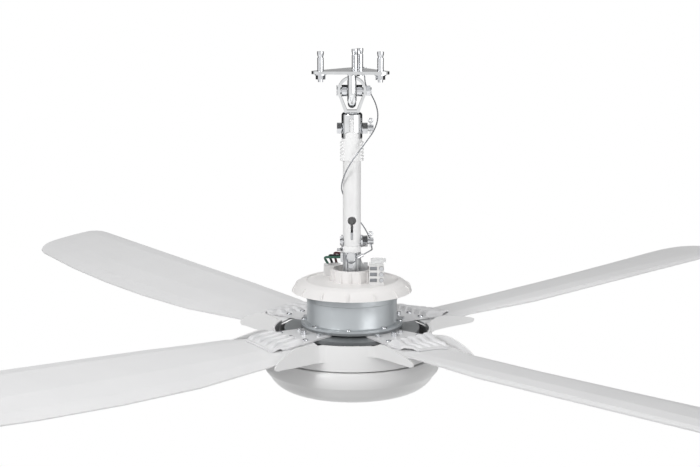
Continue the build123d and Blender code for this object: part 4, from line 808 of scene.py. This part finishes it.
def rope_mesh(name, points, radius):
    """A tube whose lobed section twists along a line, as the strands of a wire rope do."""
    around = ROPE_STRANDS * POINTS_A_STRAND
    work = bmesh.new()
    rings = []
    side = None
    travelled = 0.0
    for index, point in enumerate(points):
        before = points[max(index - 1, 0)]
        after = points[min(index + 1, len(points) - 1)]
        along = (after - before).normalized()
        if side is None:
            side = along.orthogonal().normalized()
        side = (side - along * side.dot(along)).normalized()
        across = along.cross(side)
        travelled += (point - before).length
        twist = math.tau * travelled / ROPE_PITCH
        section = []
        for step in range(around):
            angle = math.tau * step / around
            lobe = math.sqrt(abs(math.cos(ROPE_STRANDS * angle / 2)))
            reach = radius * (ROPE_VALLEY_SHARE + (1 - ROPE_VALLEY_SHARE) * lobe)
            direction = side * math.cos(angle + twist) + across * math.sin(angle + twist)
            section.append(work.verts.new(point + direction * reach))
        rings.append(section)
    for low, high in zip(rings, rings[1:]):
        bridge(work, low, high)
    work.faces.new(list(reversed(rings[0])))
    work.faces.new(rings[-1])
    return finished_mesh(work, name, ROPE_SOFT_ANGLE)


class FAN_OT_cords(bpy.types.Operator):
    """Makes the safety wire, its loop and the three leads"""

    bl_idname = "fan.cords"
    bl_label = "Cords"

    def execute(self, context):
        sizes = context.scene.fan_sizes
        route = in_metres(WIRE_ROUTE_MM)
        line = resampled(spline_points(route), ROPE_STEP)
        mesh = rope_mesh("safety_wire_rope", line, sizes.wire_diameter / 2)
        rope = new_piece("safety_wire_rope", mesh, None, "wire_rope", ["safety_wire"])
        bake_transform(rope)
        finish_node("wire_loop", "wire_rope")
        finish_node("wire_ferrule", "zinc")
        for colour, points in LEAD_ROUTES_MM.items():
            route = in_metres(points)
            lead = nurbs_curve("lead_" + colour + "_tube", route, sizes.lead_diameter / 2)
            context.scene.collection.objects.link(lead)
            lead.data.materials.append(finishes["lead_" + colour])
            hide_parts("lead_" + colour)
            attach(lead, "hanger")
            line_length(spline_points(route))
        return {"FINISHED"}


# Stage


CAMERA_PLACE = (0.0, -1.750, 0.1101)
CAMERA_AIM = (-0.0023, 0.0, -0.1982)
CAMERA_LENS = 75.06
CAMERA_SENSOR = 36.0
CAMERA_NEAR = 0.01

# Name, place, watts and width of each lamp
LAMPS = (
    ("key_light", (-1.5, -1.4, 0.9), 23.0, 0.7),
    ("fill_light", (1.6, -1.7, 0.1), 18.0, 1.4),
    ("top_light", (0.1, 0.4, 1.6), 11.0, 1.6),
)
LAMP_AIM = (0.0, 0.0, -0.25)

WORLD_LEVEL = 0.47
FLOOR_REACH = 9.0
FLOOR_DROP = 4.4
FLOOR_TONE = 0.9
FLOOR_ROUGHNESS = 0.9
FLOOR_GLOW = 0.72

# How bright metal mirrors the studio, from straight in front (0) round to straight behind (1)
FLAG_LEVELS = (
    (0.0, 0.9), (0.45, 1.0), (0.56, 0.35), (0.64, 0.02), (0.88, 0.02), (0.94, 0.35), (1.0, 0.4),
)

# The same by height, from the level of the eye (0) to straight above (1)
TOP_FLAG_LEVELS = ((0.0, 1.0), (0.42, 1.0), (0.52, 0.08), (0.82, 0.08), (0.92, 0.8), (1.0, 0.9))


def maths(tree, operation, *values):
    """The result of one operation on sockets or plain numbers."""
    node = tree.nodes.new("ShaderNodeMath")
    node.operation = operation
    for socket, value in zip(node.inputs, values):
        if isinstance(value, float):
            socket.default_value = value
        else:
            tree.links.new(value, socket)
    return node.outputs["Value"]


def any_ray(tree, *kinds):
    """1 for a ray of any of the named kinds, 0 for the rest."""
    path = tree.nodes.new("ShaderNodeLightPath")
    value = path.outputs[kinds[0]]
    for kind in kinds[1:]:
        value = maths(tree, "MAXIMUM", value, path.outputs[kind])
    return value


def mixed(tree, factor, first, second):
    """The first shader where the factor is 0 and the second where it is 1."""
    mix = tree.nodes.new("ShaderNodeMixShader")
    tree.links.new(factor, mix.inputs["Fac"])
    tree.links.new(first, mix.inputs[1])
    tree.links.new(second, mix.inputs[2])
    return mix.outputs["Shader"]


def flag_ramp(tree, value, levels):
    """Grey levels read along a value from 0 to 1."""
    flags = tree.nodes.new("ShaderNodeValToRGB")
    ramp = flags.color_ramp
    while len(ramp.elements) < len(levels):
        ramp.elements.new(levels[len(ramp.elements)][0])
    for element, (position, level) in zip(ramp.elements, levels):
        element.position = position
        element.color = (level, level, level, 1)
    tree.links.new(value, flags.inputs["Fac"])
    return flags.outputs["Color"]


def background(tree, strength=1.0):
    """A plain white background shader of a stated strength."""
    node = tree.nodes.new("ShaderNodeBackground")
    node.inputs["Color"].default_value = (1, 1, 1, 1)
    node.inputs["Strength"].default_value = strength
    return node


def studio_world():
    """White to the eye, even and plain on the fan, with dark flags that only metal mirrors."""
    world = bpy.data.worlds.new("studio")
    world.use_nodes = True
    tree = world.node_tree
    even, white, mirrored = background(tree, WORLD_LEVEL), background(tree), background(tree)
    direction = tree.nodes.new("ShaderNodeTexCoord")
    split = tree.nodes.new("ShaderNodeSeparateXYZ")
    tree.links.new(direction.outputs["Generated"], split.inputs["Vector"])
    aside = maths(tree, "ABSOLUTE", split.outputs["X"])
    forward = maths(tree, "MULTIPLY", split.outputs["Y"], -1.0)
    turned = maths(tree, "DIVIDE", maths(tree, "ARCTAN2", aside, forward), math.pi)
    both = tree.nodes.new("ShaderNodeMix")
    both.data_type = "RGBA"
    both.blend_type = "MULTIPLY"
    both.inputs["Factor"].default_value = 1.0
    tree.links.new(flag_ramp(tree, turned, FLAG_LEVELS), both.inputs["A"])
    tree.links.new(flag_ramp(tree, split.outputs["Z"], TOP_FLAG_LEVELS), both.inputs["B"])
    tree.links.new(both.outputs["Result"], mirrored.inputs["Color"])
    glossy = mixed(
        tree, any_ray(tree, "Is Glossy Ray"), even.outputs["Background"],
        mirrored.outputs["Background"],
    )
    seen = any_ray(tree, "Is Camera Ray", "Is Transmission Ray")
    whole = mixed(tree, seen, glossy, white.outputs["Background"])
    tree.links.new(whole, tree.nodes["World Output"].inputs["Surface"])
    tree.nodes.remove(tree.nodes["Background"])
    return world


def add_camera(scene):
    """The camera at the photograph's angle."""
    data = bpy.data.cameras.new("camera")
    data.lens = CAMERA_LENS
    data.sensor_width = CAMERA_SENSOR
    data.clip_start = CAMERA_NEAR
    camera = bpy.data.objects.new("camera", data)
    camera.location = CAMERA_PLACE
    aim = Vector(CAMERA_AIM) - camera.location
    camera.rotation_euler = aim.to_track_quat("-Z", "Y").to_euler()
    scene.collection.objects.link(camera)
    scene.camera = camera


def add_lamps(scene):
    """The three soft lamps, all aimed at the fan."""
    for name, place, watts, width in LAMPS:
        data = bpy.data.lights.new(name, "AREA")
        data.energy = watts
        data.size = width
        lamp = bpy.data.objects.new(name, data)
        lamp.location = place
        aim = Vector(LAMP_AIM) - lamp.location
        lamp.rotation_euler = aim.to_track_quat("-Z", "Y").to_euler()
        scene.collection.objects.link(lamp)


def add_floor(scene):
    """A pale floor far under the fan, near white to the eye and to metal."""
    mesh = bpy.data.meshes.new("floor")
    corners = ((-1, -1), (1, -1), (1, 1), (-1, 1))
    mesh.from_pydata(
        [(x * FLOOR_REACH, y * FLOOR_REACH, -FLOOR_DROP) for x, y in corners], [], [(0, 1, 2, 3)],
    )
    floor = bpy.data.objects.new("floor", mesh)
    scene.collection.objects.link(floor)
    material, tree, shader = node_tree("pale_floor")
    shader.inputs["Base Color"].default_value = (FLOOR_TONE, FLOOR_TONE, FLOOR_TONE, 1)
    shader.inputs["Roughness"].default_value = FLOOR_ROUGHNESS
    glow = tree.nodes.new("ShaderNodeEmission")
    glow.inputs["Strength"].default_value = FLOOR_GLOW
    add = tree.nodes.new("ShaderNodeAddShader")
    tree.links.new(shader.outputs["BSDF"], add.inputs[0])
    tree.links.new(glow.outputs["Emission"], add.inputs[1])
    seen = any_ray(tree, "Is Camera Ray", "Is Glossy Ray", "Is Transmission Ray")
    whole = mixed(tree, seen, shader.outputs["BSDF"], add.outputs["Shader"])
    tree.links.new(whole, tree.nodes["Material Output"].inputs["Surface"])
    mesh.materials.append(material)


class FAN_OT_stage(bpy.types.Operator):
    """Makes the floor, the lights and the camera"""

    bl_idname = "fan.stage"
    bl_label = "Stage"

    def execute(self, context):
        scene = context.scene
        scene.view_settings.view_transform = "Standard"
        scene.world = studio_world()
        add_camera(scene)
        add_lamps(scene)
        add_floor(scene)
        return {"FINISHED"}


# Pieces

# The shackle's edges are this many times rounder than a bolt's
SHACKLE_ROUNDING = 2


class FAN_OT_ceiling(bpy.types.Operator):
    """Finishes the ceiling plate, its hook and the four anchors"""

    bl_idname = "fan.ceiling"
    bl_label = "Ceiling end"

    def execute(self, context):
        dress("ceiling_plate", "plate_paint")
        dress("hook_bolt", "hanger_chrome")
        for node in ("anchor_studs", "anchor_sleeves", "anchor_washers", "anchor_nuts", "wire_eye"):
            dress(node, "zinc")
        return {"FINISHED"}


class FAN_OT_hanger(bpy.types.Operator):
    """Finishes the roller, the shackle, the down pipe, its sleeve and the cross bolts"""

    bl_idname = "fan.hanger"
    bl_label = "Hanger and pipe"

    def execute(self, context):
        sizes = context.scene.fan_sizes
        dress("hanger_roller", "roller_rubber")
        dress("shackle", "hanger_chrome", SHACKLE_ROUNDING * sizes.edge_round)
        dress("down_pipe", "pipe_metal")
        dress("ribbed_sleeve", "sleeve_plastic")
        for node in (
            "roller_axle", "axle_spacers", "axle_nut", "upper_bolt", "lower_bolt",
            "lower_washer", "castle_nuts",
        ):
            dress(node, "zinc", sizes.edge_round)
        dress("split_pins", "zinc")
        return {"FINISHED"}


class FAN_OT_shaft(bpy.types.Operator):
    """Finishes the shaft, the coupler ring and the block with its lug"""

    bl_idname = "fan.shaft"
    bl_label = "Shaft and block"

    def execute(self, context):
        dress("motor_shaft", "bearing_steel")
        dress("shaft_coupler", "sleeve_plastic")
        dress("shaft_block", "iron_metal", finish="cast_zinc")
        for node in ("grub_screw", "block_screw"):
            dress(node, "zinc")
        return {"FINISHED"}


class FAN_OT_cover(bpy.types.Operator):
    """Finishes the top cover, the terminals, the lead box and the driver board"""

    bl_idname = "fan.cover"
    bl_label = "Top cover and terminals"

    def execute(self, context):
        profile = [(radius * MM, -drop * MM) for radius, drop in COVER_PROFILE]
        work = bmesh.new()
        work.from_mesh(lathe_mesh("cover_shell", profile, COVER_SIDES, COVER_SOFT_ANGLE))
        places = [
            ((0, 0, 0), (0, 0, COVER_RIB_AZIMUTH + 360 * step / COVER_RIBS))
            for step in range(COVER_RIBS)
        ]
        for outline in (RIM_RIB, COLLAR_GUSSET):
            pattern = slab_mesh("cover_rib", outline, COVER_RIB_HALF)
            work.from_mesh(repeated("cover_ribs", pattern, places, "cover_plastic"))
        mesh = bpy.data.meshes.new("top_cover_finished")
        work.to_mesh(mesh)
        work.free()
        body = frame["nodes"]["top_cover"]["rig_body"]
        new_piece("top_cover_finished", mesh, body, "cover_plastic", ["top_cover"])
        outline = [
            (CLAMP_NEAR, -CLAMP_HALF_HEIGHT), (CLAMP_FAR, -CLAMP_HALF_HEIGHT),
            (CLAMP_FAR, CLAMP_HALF_HEIGHT), (CLAMP_NEAR, CLAMP_HALF_HEIGHT),
        ]
        clamp = slab_mesh("clamp", outline, CLAMP_HALF_DEPTH)
        places = [((0, -CLAMP_FORWARD * MM, -drop * MM), (0, 0, 0)) for drop in TERMINAL_DROPS]
        mesh = repeated("terminal_clamps", clamp, places, "core_steel")
        body = frame["nodes"]["terminal_block"]["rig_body"]
        new_piece("terminal_clamps", mesh, body, "core_steel")
        dress("terminal_block", "terminal_plastic")
        dress("lead_box", "terminal_plastic")
        dress("terminal_flap", "flap_plastic")
        dress("terminal_screws", "zinc")
        dress("driver_board", "board")
        return {"FINISHED"}


class FAN_OT_motor(bpy.types.Operator):
    """Finishes the motor's shells, its screws and what turns inside"""

    bl_idname = "fan.motor"
    bl_label = "Motor"

    def execute(self, context):
        for node in ("motor_cap", "motor_housing"):
            dress(node, "motor_paint")
        # The foot takes the darkened motor paint: painted shade below the flange
        dress("motor_base", "motor_paint", finish="foot_painted_shade")
        dress("magnet_ring", "magnet")
        dress("stator_core", "core_steel")
        dress("stator_coils", "copper")
        for node in ("upper_bearing", "lower_bearing"):
            dress(node, "bearing_steel")
        pattern = screw_mesh("motor_screw", MOTOR_SCREW)
        places = []
        for index in range(MOTOR_SCREWS):
            azimuth = MOTOR_SCREW_AZIMUTH + 360 * index / MOTOR_SCREWS
            point = on_circle(MOTOR_SCREW_CIRCLE, azimuth, MOTOR_SCREW_DROP)
            places.append((point, (0, 0, MOTOR_SCREW_TWIST * index)))
        mesh = repeated("motor_screws_finished", pattern, places, "zinc")
        new_piece("motor_screws_finished", mesh, "rotor", "zinc", ["motor_screws"])
        return {"FINISHED"}


class FAN_OT_blades(bpy.types.Operator):
    """Finishes the four blades, their irons, post bolts and screws"""

    bl_idname = "fan.blades"
    bl_label = "Blades and irons"

    def execute(self, context):
        places = []
        for index, side in enumerate(BLADE_SIDES):
            azimuth = FIRST_BLADE + index * BLADE_TURN
            blade = dress("blade_" + side, "blade_plastic")
            mark_creases(blade.data, azimuth, CREASE_ANGLE)
            node = "blade_iron_" + side
            mesh = iron_mesh(node + "_finished", side, azimuth)
            new_piece(node + "_finished", mesh, "rotor", "iron_metal", [node])
            for reach, across in BLADE_SCREWS:
                turn = math.degrees(math.atan2(across, reach))
                point = on_circle(math.hypot(reach, across), azimuth + turn, IRON_TOP_DROP)
                places.append((point, (0, 0, azimuth + reach)))
        dress("iron_bolts", "zinc")
        pattern = screw_mesh("blade_screw", BLADE_SCREW)
        mesh = repeated("blade_screws_finished", pattern, places, "zinc")
        new_piece("blade_screws_finished", mesh, "rotor", "zinc", ["blade_screws"])
        return {"FINISHED"}


class FAN_OT_lower_cover(bpy.types.Operator):
    """Finishes the winged skirt, the bowl and the pan that carries them"""

    bl_idname = "fan.lower_cover"
    bl_label = "Lower cover"

    def execute(self, context):
        dress("skirt", "bowl_plastic")
        dress("dome", "bowl_plastic", angle=DOME_SOFT_ANGLE)
        # The pan is near-black: painted shade for the inside of the skirt
        dress("mounting_pan", "pan_paint")
        pattern = screw_mesh("pan_screw", PAN_SCREW)
        places = []
        for index in range(len(BLADE_SIDES)):
            azimuth = FIRST_BLADE + BLADE_TURN / 2 + BLADE_TURN * index
            point = on_circle(PAN_SCREW_CIRCLE, azimuth, PAN_SCREW_DROP)
            places.append((point, (180, 0, PAN_SCREW_TWIST * index)))
        mesh = repeated("pan_screws_finished", pattern, places, "zinc")
        new_piece("pan_screws_finished", mesh, "rotor", "zinc", ["pan_screws"])
        return {"FINISHED"}


class FAN_PT_panel(bpy.types.Panel):
    """The fan's sizes, colours and pieces"""

    bl_label = "Ceiling fan"
    bl_idname = "FAN_PT_panel"
    bl_space_type = "VIEW_3D"
    bl_region_type = "UI"
    bl_category = "Ceiling fan"

    def draw(self, context):
        layout = self.layout
        for group in (context.scene.fan_sizes, context.scene.fan_colours):
            for name in group.bl_rna.properties.keys():
                if name not in ("rna_type", "name"):
                    layout.prop(group, name)
        for operator in OPERATORS:
            layout.operator(operator.bl_idname)


OPERATORS = (
    FAN_OT_stage,
    FAN_OT_cords,
    FAN_OT_ceiling,
    FAN_OT_hanger,
    FAN_OT_shaft,
    FAN_OT_cover,
    FAN_OT_motor,
    FAN_OT_blades,
    FAN_OT_lower_cover,
)
CLASSES = (FanSizes, FanColours, *OPERATORS, FAN_PT_panel)
finishes = {}


def register():
    for each in CLASSES:
        bpy.utils.register_class(each)
    bpy.types.Scene.fan_sizes = bpy.props.PointerProperty(type=FanSizes)
    bpy.types.Scene.fan_colours = bpy.props.PointerProperty(type=FanColours)


def unregister():
    del bpy.types.Scene.fan_colours
    del bpy.types.Scene.fan_sizes
    for each in reversed(CLASSES):
        bpy.utils.unregister_class(each)


def main():
    register()
    finishes.update(make_materials(bpy.context.scene.fan_colours))
    for operator in OPERATORS:
        group, name = operator.bl_idname.split(".")
        getattr(getattr(bpy.ops, group), name)()


if __name__ == "__main__":
    main()
